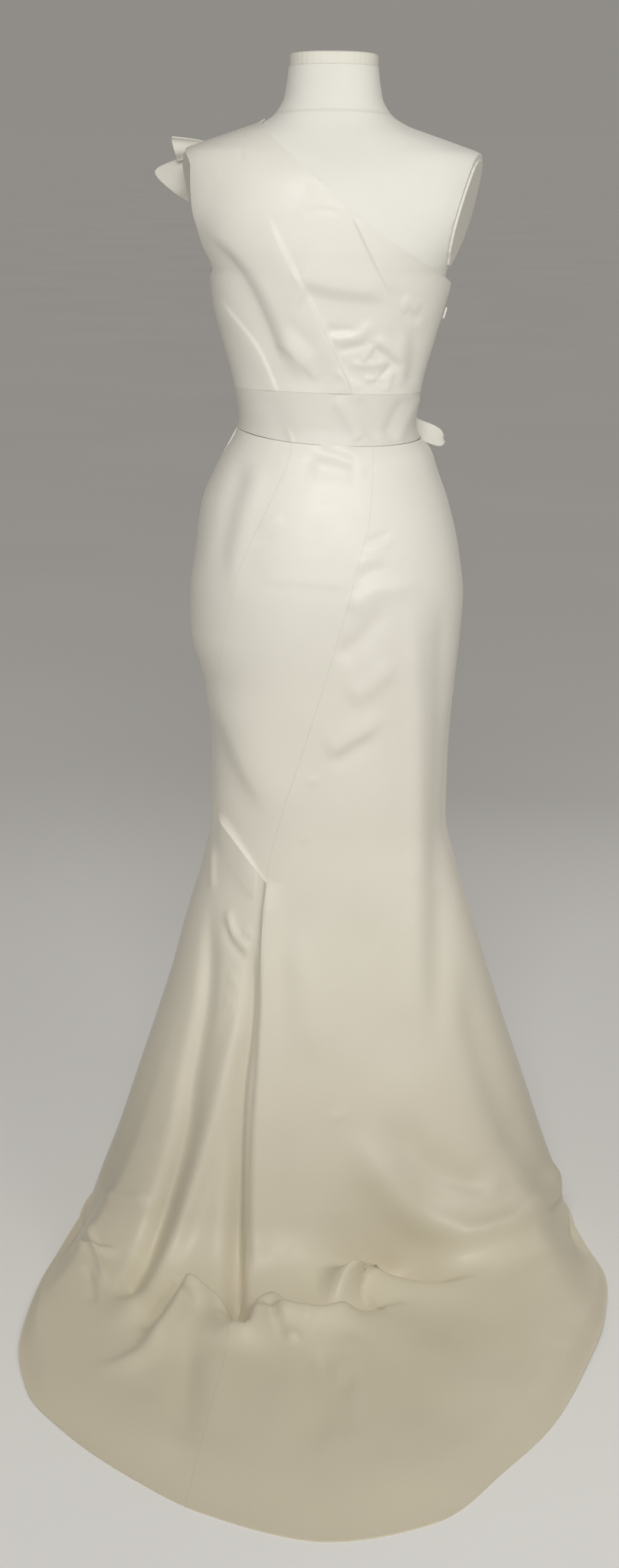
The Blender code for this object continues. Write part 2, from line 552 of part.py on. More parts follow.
def ring_of_cut(mesh, point, normal, inset):
    """Outline of the flat face on a plane, moved in by a little, as points in order."""
    face = max((f for f in mesh.faces if abs((f.calc_center_median() - point).dot(normal)) < 1e-5
                and abs(f.normal.dot(normal)) > 0.999), key=lambda f: f.calc_area())
    centre = sum((v.co for v in face.verts), Vector()) / len(face.verts)
    corners = [v.co.copy() for v in face.verts]
    ring = []
    for corner in corners:
        if not ring or (corner - ring[-1]).length > RING_STEP:
            ring.append(corner)
    return [centre + (p - centre) * (1 - inset / (p - centre).length) for p in ring]


def build_form():
    """Torso with its armhole plates and neck cap, on a pole and a round base."""
    mesh = torso_mesh()
    planes = {"form_arm_plate_right": arm_plane(1), "form_arm_plate_left": arm_plane(-1),
              "form_neck_cap": neck_plane()}
    for point, normal in planes.values():
        cut_flat(mesh, point, normal)
    bmesh.ops.recalc_face_normals(mesh, faces=mesh.faces)
    for name, (point, normal) in planes.items():
        cap = name == "form_neck_cap"
        ring = ring_of_cut(mesh, point, normal, CAP_INSET if cap else PLATE_INSET)
        flat_disc(name, ring, PLATE_GAP, CAP_HEIGHT if cap else ARM_PLATE, normal, ENAMEL, 0.4)
    finish("form_torso", mesh, COVER, 0.8)
    torso_floor = 0.780
    turned("form_pole", [(0, BASE_HEIGHT + PLATE_GAP), (POLE_RADIUS, BASE_HEIGHT + PLATE_GAP),
                         (POLE_RADIUS, torso_floor - PLATE_GAP), (0, torso_floor - PLATE_GAP)], 24)
    turned("form_base", [(0, 0), (BASE_RADIUS - 0.003, 0), (BASE_RADIUS, 0.003),
                         (BASE_RADIUS, 0.010), (BASE_RADIUS - 0.006, 0.0145),
                         (0.030, BASE_HEIGHT), (0, BASE_HEIGHT)], 48)


def turned(name, profile, around):
    """Round piece spun about the Z axis from a profile that starts and ends on it."""
    mesh = bmesh.new()
    verts = [mesh.verts.new((r, 0, z)) for r, z in profile]
    edges = [mesh.edges.new(pair) for pair in zip(verts, verts[1:])]
    bmesh.ops.spin(mesh, geom=verts + edges, axis=(0, 0, 1), cent=(0, 0, 0), angle=2 * math.pi,
                   steps=around, use_merge=True)
    bmesh.ops.remove_doubles(mesh, verts=mesh.verts, dist=1e-6)
    return finish(name, mesh, ENAMEL, 0.45, smooth=35)


# The cloth that lies on the form

def body_tree():
    mesh = torso_mesh()
    tree = BVHTree.FromBMesh(mesh)
    mesh.free()
    return tree


TREE = body_tree()


def lay_out(point):
    """Direction and way up of a point on the form: metres of height, then angle above RAY_CENTRE."""
    x, y, z = point
    if z < RAY_CENTRE:
        return math.atan2(y, x), z
    return math.atan2(y, x), RAY_CENTRE + RAY_SCALE * math.atan2(z - RAY_CENTRE, math.hypot(x, y))


def body_point(angle, up):
    """Point of the form's face at a direction and a way up."""
    lean = max(0.0, (up - RAY_CENTRE) / RAY_SCALE)
    ray = Vector((math.cos(angle) * math.cos(lean), math.sin(angle) * math.cos(lean), math.sin(lean)))
    start = Vector((0, 0, min(up, RAY_CENTRE)))
    hit = TREE.ray_cast(start, ray)[0]
    return hit


def body_normal(angle, up, step=0.008):
    """Outward direction of the form there, evened out over a small patch."""
    turn = step / 0.13
    across = body_point(angle + turn, up) - body_point(angle - turn, up)
    rise = body_point(angle, up + step) - body_point(angle, up - step)
    return across.cross(rise).normalized()


def on_back(x, z):
    """Layout of the point of the form's back at x and z."""
    return lay_out(TREE.ray_cast(Vector((x, -1, z)), Vector((0, 1, 0)))[0])


def on_front(x, z):
    return lay_out(TREE.ray_cast(Vector((x, 1, z)), Vector((0, -1, 0)))[0])


def spread(points, count, power=1.0):
    """A smooth run of points through a short list, evenly spaced by length."""
    points = np.asarray(points, float)
    length = np.concatenate([[0], np.cumsum(np.hypot(*np.diff(points * (0.14, 1), axis=0).T))])
    at = length[-1] * np.linspace(0, 1, count) ** power
    return np.stack([monotone(length, points[:, k])(at) for k in (0, 1)], axis=-1)


def coons(low, high, left, right):
    """Grid between four edge runs: low and high go from left to right, left and right go up."""
    u = np.linspace(0, 1, len(low))[None, :, None]
    v = np.linspace(0, 1, len(left))[:, None, None]
    ruled = (1 - v) * low[None] + v * high[None] + (1 - u) * left[:, None] + u * right[:, None]
    corners = ((1 - u) * (1 - v) * low[0] + u * (1 - v) * low[-1] + (1 - u) * v * high[0] + u * v * high[-1])
    return ruled - corners


def band_height(across, deep, edge, tilt, dip=0.0):
    """Height of one edge of the waistband at a place given as shares of the section's half sizes."""
    return edge + tilt * BAND_HALF * across - dip * np.clip(-deep, 0, 1) ** 2


def band_run(angles, edge, tilt, dip=0.0):
    """Height of one edge of the waistband in directions round the form."""
    points = np.array([body_point(angle, edge) for angle in angles])
    across = points[:, 0] / FORM["half_width"](edge)
    deep = points[:, 1] / np.where(points[:, 1] < 0, FORM["back"](edge), FORM["front"](edge))
    return band_height(across, deep, edge, tilt, dip)


def grid_normals(grid):
    """Normal at each point of a grid of points."""
    normal = np.cross(np.gradient(grid, axis=0), np.gradient(grid, axis=1))
    normal = normal / np.linalg.norm(normal, axis=-1, keepdims=True)
    outward = np.sum(normal[..., :2] * grid[..., :2]) < 0
    return -normal if outward else normal


def stand_off(layout):
    """How far the cloth stands off the form beyond its plain clearance."""
    angle, up = layout[..., 0], layout[..., 1]
    underarm = np.exp(-(angle / 0.25) ** 2 - ((up - UNDERARM) / 0.022) ** 2)
    left = np.exp(-((np.abs(angle) - math.pi) / 0.55) ** 2) * (1 - smoothstep(1.31, 1.38, up))
    return UNDERARM_STAND * underarm + LEFT_STAND * left


def shortfall(grid):
    """How much further out each grid point goes so that the cloth between the points clears the form."""
    more = np.zeros(grid.shape[:2])
    rows, cols = grid.shape[0] - 1, grid.shape[1] - 1
    for i in range(rows):
        for j in range(cols):
            for down, right in CELL_SAMPLES:
                top = grid[i, j] * (1 - right) + grid[i, j + 1] * right
                low = grid[i + 1, j] * (1 - right) + grid[i + 1, j + 1] * right
                point = Vector(top * (1 - down) + low * down)
                place, normal, _, _ = TREE.find_nearest(point)
                lack = LEAST_CLEAR - (point - place).dot(normal)
                if lack > 0:
                    more[i:i + 2, j:j + 2] = np.maximum(more[i:i + 2, j:j + 2], lack)
    return more


def drape(layout, clear, folds=()):
    """Outer and inner points of a piece that lies on the form, from its layout grid."""
    base = np.array([[body_point(a, up) for a, up in row] for row in layout])
    normal = np.array([[body_normal(a, up) for a, up in row] for row in layout])
    clear = clear + stand_off(layout)
    for _ in range(4):
        clear = clear + shortfall(base + normal * clear[..., None])
    lift = np.maximum(fold_lift(base[..., 0], base[..., 2], folds), 0.0)
    clear = clear + lift * smoothstep(0.0, BODICE_FADE, from_side(layout[..., 0]))
    inner = base + normal * clear[..., None]
    return inner + normal * WALL, inner


def bodice_piece(name, sign, neckline, folds, cols, rows):
    """Half of the bodice: sign -1 is the back, 1 the front."""
    on_body = on_back if sign < 0 else on_front
    turn = SEAM_GAP / 2 / BAND_HALF
    seam_left, seam_right = sign * (math.pi - turn), sign * turn
    low_angles = np.linspace(seam_left, seam_right, cols)
    low = np.stack([low_angles, band_run(low_angles, WAIST_TOP, BAND_TILT_TOP) + SEAM_GAP / 2], axis=-1)
    shoulder = round((cols - 1) * 0.30)
    tip_up = lay_out(form_point(math.pi, SHOULDER_TIP))[1]
    neck_up = lay_out((NECK_POINT[0], 0, NECK_POINT[1]))[1]
    seam = spread([(seam_left, tip_up), (seam_left, neck_up)], shoulder + 1)
    top_right = (seam_right, UNDERARM)
    edge = spread([(seam_left, neck_up), *[on_body(x, z) for x, z in neckline], top_right], cols - shoulder)
    high = np.concatenate([seam, edge[1:]])
    armhole = [on_body(x, z) for x, z in (ARMHOLE_BACK if sign < 0 else ARMHOLE_FRONT)]
    left = spread([tuple(low[0]), (seam_left, 1.25), (seam_left, UNDERARM), *armhole, tuple(seam[0])], rows)
    right = spread([tuple(low[-1]), top_right], rows)
    layout = coons(low, high, left, right)
    outer, inner = drape(layout, np.full(layout.shape[:2], CLEAR), folds)
    return cloth_body(name, outer, inner, SATIN)


def waistband_piece(name, sign, cols):
    turn = SEAM_GAP / 2 / BAND_HALF
    angles = np.linspace(sign * (math.pi - turn), sign * turn, cols)
    rows = 4
    low = band_run(angles, WAIST_LOW, BAND_TILT_LOW, BAND_DIP) + SEAM_GAP / 2
    high = band_run(angles, WAIST_TOP, BAND_TILT_TOP) - SEAM_GAP / 2
    share = np.linspace(0, 1, rows)[:, None]
    up = low * (1 - share) + high * share
    layout = np.stack([np.broadcast_to(angles, up.shape), up], axis=-1)
    outer, inner = drape(layout, np.full(up.shape, CLEAR))
    return cloth_body(name, outer, inner, SATIN)


# The skirt

def waist_way(angle):
    """Way down at which the skirt starts, close under the edge of the waistband."""
    x, y = skirt_section(angle, WAIST_LOW)
    around = np.arctan2(y, x)
    layout = np.stack([around, band_run(around, WAIST_LOW, BAND_TILT_LOW, BAND_DIP)], axis=-1)
    above = CLEAR + WALL + stand_off(layout)
    edge = [(body_point(*place) + body_normal(*place) * out).z for place, out in zip(layout, above)]
    return height_way(np.array(edge) - WAIST_GAP)


def height_way(height):
    """Way down at which the skirt's plain face is at a height."""
    return 1 - np.maximum(height - WALL, 0.0) / SKIRT_TOP


def seam_angle(seam, way):
    """Direction of a skirt seam at a way down."""
    height = SKIRT_TOP * (1 - np.clip(way, 0, 1))
    return skirt_angle(seam["x"](height), height)


def left_seam(way):
    return seam_angle(SEAM_LEFT, way)


def back_seam(way):
    return seam_angle(SEAM_BACK, way)


def side_seam(degrees):
    return lambda way: np.full(np.shape(way), math.radians(degrees))


def godet_way(angle):
    """Way down of the godet's upper edge, which slants from the left side seam to the back seam."""
    x = skirt_section(angle, GODET_LEFT)[0]
    last = skirt_section(back_seam(height_way(GODET_RIGHT)), GODET_LEFT)[0]
    first = -SKIRT["left"](GODET_LEFT)
    return height_way(GODET_LEFT + (GODET_RIGHT - GODET_LEFT) * (x - first) / (last - first))


def edge_run(rule, left, right, cols, shift=0.0):
    """Way down of a panel's upper or lower edge at each of its columns."""
    share = np.linspace(0, 1, cols)
    way = np.full(cols, 0.3)
    for _ in range(12):
        way = rule(left(way) + (right(way) - left(way)) * share) + shift
    return way


def skirt_panel(name, left, right, ways, cols):
    """Panel between two edges, each a function of way; ways is a grid of way down, row by column."""
    ways = np.broadcast_to(ways, (ways.shape[0], cols))
    left_angle, right_angle = left(ways), right(ways)
    left_angle = left_angle + seam_shift(left_angle, ways)
    right_angle = right_angle - seam_shift(right_angle, ways)
    angle = left_angle + (right_angle - left_angle) * np.linspace(0, 1, cols)[None, :]
    outer, inner = skirt_shell(angle, ways)
    middle = np.degrees(angle[0]).mean()
    for column, edge in ((0, left), (-1, right)):
        if abs(float(np.degrees(edge(1.0)))) in (0.0, 180.0):
            for layer in (outer, inner):
                layer[:, column, 1] = math.copysign(SEAM_GAP / 2, middle)
    return cloth_body(name, outer, inner, SATIN)


def rows_between(top, bottom, count):
    return top + (bottom - top) * np.linspace(0, 1, count)[:, None]


# Heights of the rows of points below the godet's top, then their shares of the way out on the floor
HANG_LOWER = [0.49, 0.43, 0.37, 0.31, 0.25, 0.19, 0.14, 0.10, 0.065, 0.035, 0.012, 0.0]
LYING = [0.02, 0.045, 0.07, 0.10, 0.14, 0.19, 0.26, 0.36, 0.50, 0.66, 0.84, 1.0]
FRONT_ROWS = [1.07, 1.02, 0.96, 0.89, 0.82, 0.74, 0.66, 0.58, 0.50, 0.42, 0.34, 0.26, 0.18, 0.11, 0.05, 0.0]
UPPER_ROWS = 14


def build_skirt():
    """The skirt's five panels; those that meet at the back seam share its rows."""
    gap = SEAM_GAP / 2 / SKIRT_TOP
    for name, left, right, cols in (("skirt_side_left", side_seam(-180), left_seam, 5),
                                    ("skirt_back_left", left_seam, back_seam, 11)):
        top = edge_run(waist_way, left, right, cols)
        bottom = edge_run(godet_way, left, right, cols, -gap)
        skirt_panel(name, left, right, rows_between(top, bottom, UPPER_ROWS), cols)

    cols = 20
    lower = np.array([height_way(h) for h in HANG_LOWER] + [1 + share for share in LYING])
    top = edge_run(godet_way, side_seam(-180), back_seam, cols, gap)
    fade = 1 - smoothstep(top[-1], 1.0, lower)
    ways = np.concatenate([top[None, :], lower[:, None] + (top - top[-1])[None, :] * fade[:, None]])
    skirt_panel("skirt_godet", side_seam(-180), back_seam, ways, cols)

    cols = 25
    top = edge_run(waist_way, back_seam, side_seam(0), cols)
    upper = rows_between(top, np.full(cols, godet_way(back_seam(height_way(GODET_RIGHT)))), UPPER_ROWS)
    ways = np.concatenate([upper, np.repeat(lower[:, None], cols, axis=1)])
    skirt_panel("skirt_back", back_seam, side_seam(0), ways, cols)

    cols = 23
    top = edge_run(waist_way, side_seam(0), side_seam(180), cols)
    rows = [height_way(h) for h in FRONT_ROWS] + [1.5, 2.0]
    ways = np.concatenate([top[None, :], np.repeat(np.array(rows)[:, None], cols, axis=1)])
    skirt_panel("skirt_front", side_seam(0), side_seam(180), ways, cols)


def on_cloth(layout, above):
    """Point that lies on the cloth over the form, and the outward direction there."""
    normal = body_normal(*layout)
    return body_point(*layout) + normal * (CLEAR + WALL + above), normal


def thicken(grid, wall):
    """Outer and inner points of a sheet of cloth given by its middle."""
    normal = grid_normals(grid)
    return grid + normal * wall / 2, grid - normal * wall / 2


def ruffle_flap(name, rows, bulge, wave):
    """A flap of the shoulder ruffle, from its root on the strap's front out to its free edge."""
    table = columns("share root_x root_z tip_x tip_y tip_z", rows)
    across, out = 13, 9
    grid = np.zeros((across, out, 3))
    for i, share in enumerate(np.linspace(0, 1, across)):
        root, normal = on_cloth(on_front(float(table["root_x"](share)), float(table["root_z"](share))),
                                SEAM_GAP + RUFFLE_WALL / 2 + ROOT_SPARE)
        tip = Vector([float(table[key](share)) for key in ("tip_x", "tip_y", "tip_z")])
        for j, reach in enumerate(np.linspace(0, 1, out)):
            lift = bulge * math.sin(math.pi * reach ** 0.6) + wave * reach * math.sin(2.5 * math.pi * share)
            grid[i, j] = root.lerp(tip, reach) + normal * lift
    return cloth_body(name, *thicken(grid, RUFFLE_WALL), SATIN)


def build_waist_loop():
    """Round-ended loop of cloth that stands out at the right of the waist."""
    places = np.linspace(-1, 1, 6)
    spare = SEAM_GAP + RUFFLE_WALL / 2 + LOOP_SPARE
    roots = [on_cloth((math.radians(LOOP_FROM), LOOP_HEIGHT + place * LOOP_TALL / 2), spare)[0]
             for place in places]
    out = Vector((math.cos(math.radians(LOOP_TURN)), math.sin(math.radians(LOOP_TURN)), 0))
    side = Vector((-out.y, out.x, 0))
    steps = 28
    grid = np.zeros((steps, len(places), 3))
    for i, share in enumerate(np.linspace(0, 1, steps)):
        turn = math.pi * share
        along = LOOP_LENGTH * abs(math.sin(turn)) ** LOOP_ROUND
        across = LOOP_THICK * (1 - math.cos(turn)) / 2 * (1 + 0.2 * math.sin(turn))
        narrower = LOOP_TALL / 2 * 0.34 * math.sin(turn) ** 6
        for j, (place, root) in enumerate(zip(places, roots)):
            drop = Vector((0, 0, -place * narrower - LOOP_SAG * abs(math.sin(turn)) ** LOOP_FALL))
            grid[i, j] = root + out * along + side * across + drop
    return cloth_body("waist_loop", *thicken(grid, RUFFLE_WALL), SATIN)


def build_side_tab():
    """Tiny folded tab of cloth at the right underarm."""
    angles = np.radians(np.linspace(-TAB_WIDE / 2, TAB_WIDE / 2, 4) + TAB_AT)
    ups = np.linspace(TAB_LOW, TAB_HIGH, 4)
    layout = np.stack(np.meshgrid(angles, ups), axis=-1)
    outer, inner = drape(layout, np.full(layout.shape[:2], CLEAR + WALL + SEAM_GAP + 0.0004))
    return cloth_body("side_tab", outer + (outer - inner) * 0.5, inner, SATIN)


def clear_scene():
    for thing in list(bpy.data.objects):
        bpy.data.objects.remove(thing)


clear_scene()
build_form()
bodice_piece("bodice_back", -1, NECKLINE_BACK, BODICE_BACK_FOLDS, 25, 18)
bodice_piece("bodice_front", 1, NECKLINE_FRONT, BODICE_FRONT_FOLDS, 19, 14)
waistband_piece("waistband_back", -1, 25)
waistband_piece("waistband_front", 1, 19)
build_skirt()
ruffle_flap("ruffle_upper", RUFFLE_UPPER, 0.006, 0.003)
ruffle_flap("ruffle_lower", RUFFLE_LOWER, 0.009, 0.004)
build_waist_loop()
build_side_tab()
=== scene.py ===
"""Looks of the wedding dress: satin panels with their folds, the dress form, floor, light and camera."""

import math

import bmesh
import bpy
import numpy as np
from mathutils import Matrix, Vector


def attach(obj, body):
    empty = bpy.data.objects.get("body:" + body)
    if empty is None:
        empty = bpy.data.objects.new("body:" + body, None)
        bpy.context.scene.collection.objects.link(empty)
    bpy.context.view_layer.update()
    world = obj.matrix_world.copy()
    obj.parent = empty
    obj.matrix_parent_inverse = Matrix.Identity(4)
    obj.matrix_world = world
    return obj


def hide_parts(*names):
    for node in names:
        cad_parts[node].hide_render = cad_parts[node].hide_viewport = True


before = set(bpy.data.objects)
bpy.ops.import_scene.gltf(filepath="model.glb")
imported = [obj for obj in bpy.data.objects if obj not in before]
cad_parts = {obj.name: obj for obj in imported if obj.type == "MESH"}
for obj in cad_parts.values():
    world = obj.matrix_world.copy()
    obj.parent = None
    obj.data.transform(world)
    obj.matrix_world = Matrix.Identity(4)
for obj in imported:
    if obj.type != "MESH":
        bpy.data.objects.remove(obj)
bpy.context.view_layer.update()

WALL = 0.002            # thickness of the satin
SEAM_GAP = 0.00012      # space left between two pieces at a seam, drawn tight
CLEAR = 0.0012          # space between the form and the cloth on it
WAIST_TOP = 1.1725      # upper edge of the waistband at the middle
WAIST_LOW = 1.1135      # lower edge of the waistband at the middle
BAND_TILT_TOP = -0.025  # rise of the band's upper edge per metre to the right
BAND_TILT_LOW = -0.045  # rise of the band's lower edge per metre to the right
BAND_HALF = 0.115       # half width of the band from side to side
BAND_DIP = 0.007        # how far the band's lower edge dips at the middle of the back
UNDERARM = 1.305        # top of the side seams
UNDERARM_STAND = 0.004  # how far the bodice stands off at the right underarm
UNDERARM_WIDE, UNDERARM_TALL = 0.25, 0.022      # over this turn and this height
LEFT_STAND = 0.0065     # how far the gown stands off at the left side of the body
LEFT_WIDE, LEFT_LOW, LEFT_HIGH = 0.55, 1.31, 1.38       # over this turn, fading between these heights
NECK_TOP = 1.571        # height of the form's neck where the cap sits
NECK_LEAN = math.radians(4.5)
# Armhole plane of the form: x = ARM_X + ARM_LEAN * y + ARM_SLOPE * (z - ARM_Z)
ARM_X, ARM_Z = 0.170, 1.395
ARM_LEAN, ARM_SLOPE = 0.23, 0.26
ARM_LOW = 1.320         # the armhole cut starts at this height
RAY_CENTRE = 1.36       # above this height the cloth on the form is laid out by angle and not by height
RAY_SCALE = 0.17        # metres of layout for each radian above that height
BODY_ROUND = 0.13       # mean radius of the body, for a step along it as a turn
CHEST_ROUND = 0.14      # mean radius at the chest, for a turn as a length
SQUARE = 2.3            # how square the level sections are
# Rings of the form's body, from its underside up: first height, last height, count
FORM_RINGS = [(0.780, 0.805, 8), (0.815, 1.30, 70), (1.305, 1.590, 80)]


def monotone(x, y):
    """A smooth curve through the rows of a table that never swings past them."""
    x, y = np.asarray(x, float), np.asarray(y, float)
    step = np.diff(y) / np.diff(x)
    inner = [0.0 if a * b <= 0 else 2 * a * b / (a + b) for a, b in zip(step, step[1:])]
    slope = np.array([step[0], *inner, step[-1]])

    def at(q):
        q = np.clip(q, x[0], x[-1])
        i = np.clip(np.searchsorted(x, q) - 1, 0, len(x) - 2)
        width = x[i + 1] - x[i]
        s = (q - x[i]) / width
        rise = s * s * (3 - 2 * s)
        bend = s * (1 - s) * width * ((1 - s) * slope[i] - s * slope[i + 1])
        return y[i] + (y[i + 1] - y[i]) * rise + bend

    return at


def columns(names, rows):
    """One smooth curve for each named column after the first, against the first."""
    values = np.array(sorted(rows), float)
    return {name: monotone(values[:, 0], values[:, i + 1]) for i, name in enumerate(names.split()[1:])}


def smoothstep(low, high, q):
    s = np.clip((q - low) / (high - low), 0.0, 1.0)
    return s * s * (3 - 2 * s)


# Level sections of the form: half width, and depth to the back and to the front
FORM = columns("height half_width back front", [
    (0.780, 0.150, 0.100, 0.085), (0.800, 0.165, 0.111, 0.094), (0.850, 0.171, 0.118, 0.099),
    (0.900, 0.172, 0.120, 0.100), (0.960, 0.166, 0.117, 0.098), (1.020, 0.151, 0.106, 0.094),
    (1.080, 0.128, 0.090, 0.087), (1.130, 0.109, 0.079, 0.083), (1.180, 0.116, 0.078, 0.090),
    (1.240, 0.132, 0.088, 0.112), (1.278, 0.1420, 0.096, 0.128), (1.304, 0.1455, 0.101, 0.130),
    (1.320, 0.1468, 0.1030, 0.128), (1.335, 0.1545, 0.1043, 0.126), (1.352, 0.1660, 0.1052, 0.122),
    (1.395, 0.190, 0.1032, 0.106), (1.420, 0.195, 0.0990, 0.091), (1.440, 0.197, 0.0938, 0.080),
    (1.455, 0.196, 0.0880, 0.070), (1.467, 0.188, 0.0825, 0.063), (1.478, 0.160, 0.0765, 0.059),
    (1.491, 0.122, 0.0695, 0.056), (1.501, 0.094, 0.064, 0.056), (1.514, 0.074, 0.059, 0.058),
    (1.535, 0.062, 0.055, 0.060), (1.590, 0.0545, 0.052, 0.060),
])
OUT = CLEAR + WALL      # outer face of the cloth off the form
# Level sections of the skirt, plain: how far each side of it is from the pole
SKIRT = columns("height left right back front", [
    (0.000, 0.336, 0.350, 0.196, 0.285), (0.070, 0.312, 0.331, 0.197, 0.258),
    (0.140, 0.286, 0.306, 0.192, 0.230), (0.220, 0.260, 0.279, 0.180, 0.198),
    (0.300, 0.234, 0.251, 0.164, 0.170), (0.380, 0.209, 0.225, 0.148, 0.145),
    (0.460, 0.188, 0.200, 0.133, 0.124), (0.540, 0.165, 0.175, 0.122, 0.110),
    (0.600, 0.1545, 0.162, 0.117, 0.105), (0.690, 0.154, 0.163, 0.117, 0.104),
    (0.780, 0.163, 0.169, 0.122, 0.106), (0.850, 0.181, 0.175, 0.128, 0.108),
    (0.900, 0.182, 0.178, 0.130, 0.109), (0.960, 0.175, 0.171, 0.126, 0.107),
    (1.020, 0.167, 0.157, 0.115, 0.103), (1.065, 0.149, 0.141, 0.102, 0.097),
    (1.090, 0.1355, 0.1325, 0.0945, 0.0925),
    *[(height, FORM["half_width"](height) + OUT + LEFT_STAND, FORM["half_width"](height) + OUT,
       FORM["back"](height) + OUT, FORM["front"](height) + OUT) for height in (1.112, 1.125)],
])
SKIRT_TOP = 1.120       # height from which ways down the skirt are counted
# Hem on the floor, round the back and the train, by direction: -90 is straight back
HEM = columns("degrees hem_x hem_y", [
    (-180, -0.344, 0.000), (-172, -0.359, -0.090), (-160, -0.377, -0.215), (-148, -0.384, -0.365),
    (-136, -0.361, -0.500), (-124, -0.303, -0.603), (-112, -0.215, -0.707), (-101, -0.130, -0.780),
    (-90, 0.004, -0.834), (-79, 0.126, -0.792), (-68, 0.207, -0.684), (-56, 0.276, -0.570),
    (-44, 0.330, -0.425), (-32, 0.366, -0.295), (-20, 0.382, -0.175), (-8, 0.366, -0.070),
    (0, 0.356, 0.000),
])
HEM_FRONT = 1.02        # the front hem reaches this much past the skirt's section at the floor
ELBOW, ELBOW_LIP = 0.070, 0.012    # softness of the foot: all round, and under the lip on the right
LEAST_ELBOW = 1e-4                 # softness where there is no train
LIP_X, LIP_HALF = 0.09, 0.07       # where the lip is, to the right of the middle
FOOT_NEAR, FOOT_FAR = 0.02, 0.25   # reaches of the train between which its foot comes in
TRAIN_AIR = 0.009       # how high the middle of the train lies
AIR_NEAR, AIR_FAR = 0.05, 0.3      # reaches of the train between which that height comes in
AIR_IN, AIR_OUT = 0.25, 0.80       # shares of the way out to the hem where it is full
# Seams of the skirt, each as its distance to the right of the middle against height
SEAM_LEFT = columns("height x", [
    (0.560, -0.1525), (0.640, -0.1520), (0.700, -0.149), (0.780, -0.143), (0.850, -0.136),
    (0.934, -0.118), (0.990, -0.097), (1.040, -0.073), (1.080, -0.055), (1.120, -0.045)])
SEAM_BACK = columns("height x", [
    (0.000, -0.097), (0.212, -0.093), (0.381, -0.085), (0.540, -0.077), (0.600, -0.065), (0.700, -0.035),
    (0.846, 0.008), (0.909, 0.025), (0.970, 0.040), (1.016, 0.051), (1.080, 0.0545), (1.120, 0.0555)])
GODET_LEFT, GODET_RIGHT = 0.625, 0.534      # height of the godet's top edge at its two ends
SIDE_FADE = 0.20        # turn beside a side seam over which the folds of the skirt die out
BODICE_FADE = 0.16      # the same for the bodice
HEM_FADE = 1.90         # way down from which folds fade towards the hem

# Neckline and armhole at the back and at the front, as x and z on the body
NECK_POINT = (-0.084, 1.5045)
NECKLINE_BACK = [(-0.060, 1.472), (-0.011, 1.429), (0.037, 1.386), (0.082, 1.356), (0.128, 1.325)]
ARMHOLE_BACK = [(-0.1490, 1.334), (-0.1600, 1.355), (-0.1690, 1.380), (-0.1745, 1.405), (-0.1760, 1.430),
                (-0.1765, 1.452)]
ARMHOLE_FRONT = [(-0.1480, 1.334), (-0.1590, 1.355), (-0.1670, 1.380), (-0.1700, 1.405), (-0.1710, 1.430),
                 (-0.1730, 1.450)]
NECKLINE_FRONT = [(-0.062, 1.466), (-0.020, 1.425), (0.030, 1.392), (0.082, 1.360), (0.124, 1.327)]
SHOULDER_TIP = 1.4715   # height of the strap's outer end at the shoulder seam
SHOULDER_SHARE = 0.30   # share of a bodice half's columns that end at the shoulder seam
SIDE_HEIGHT = 1.25      # a place on the left side seam, between the band and the underarm

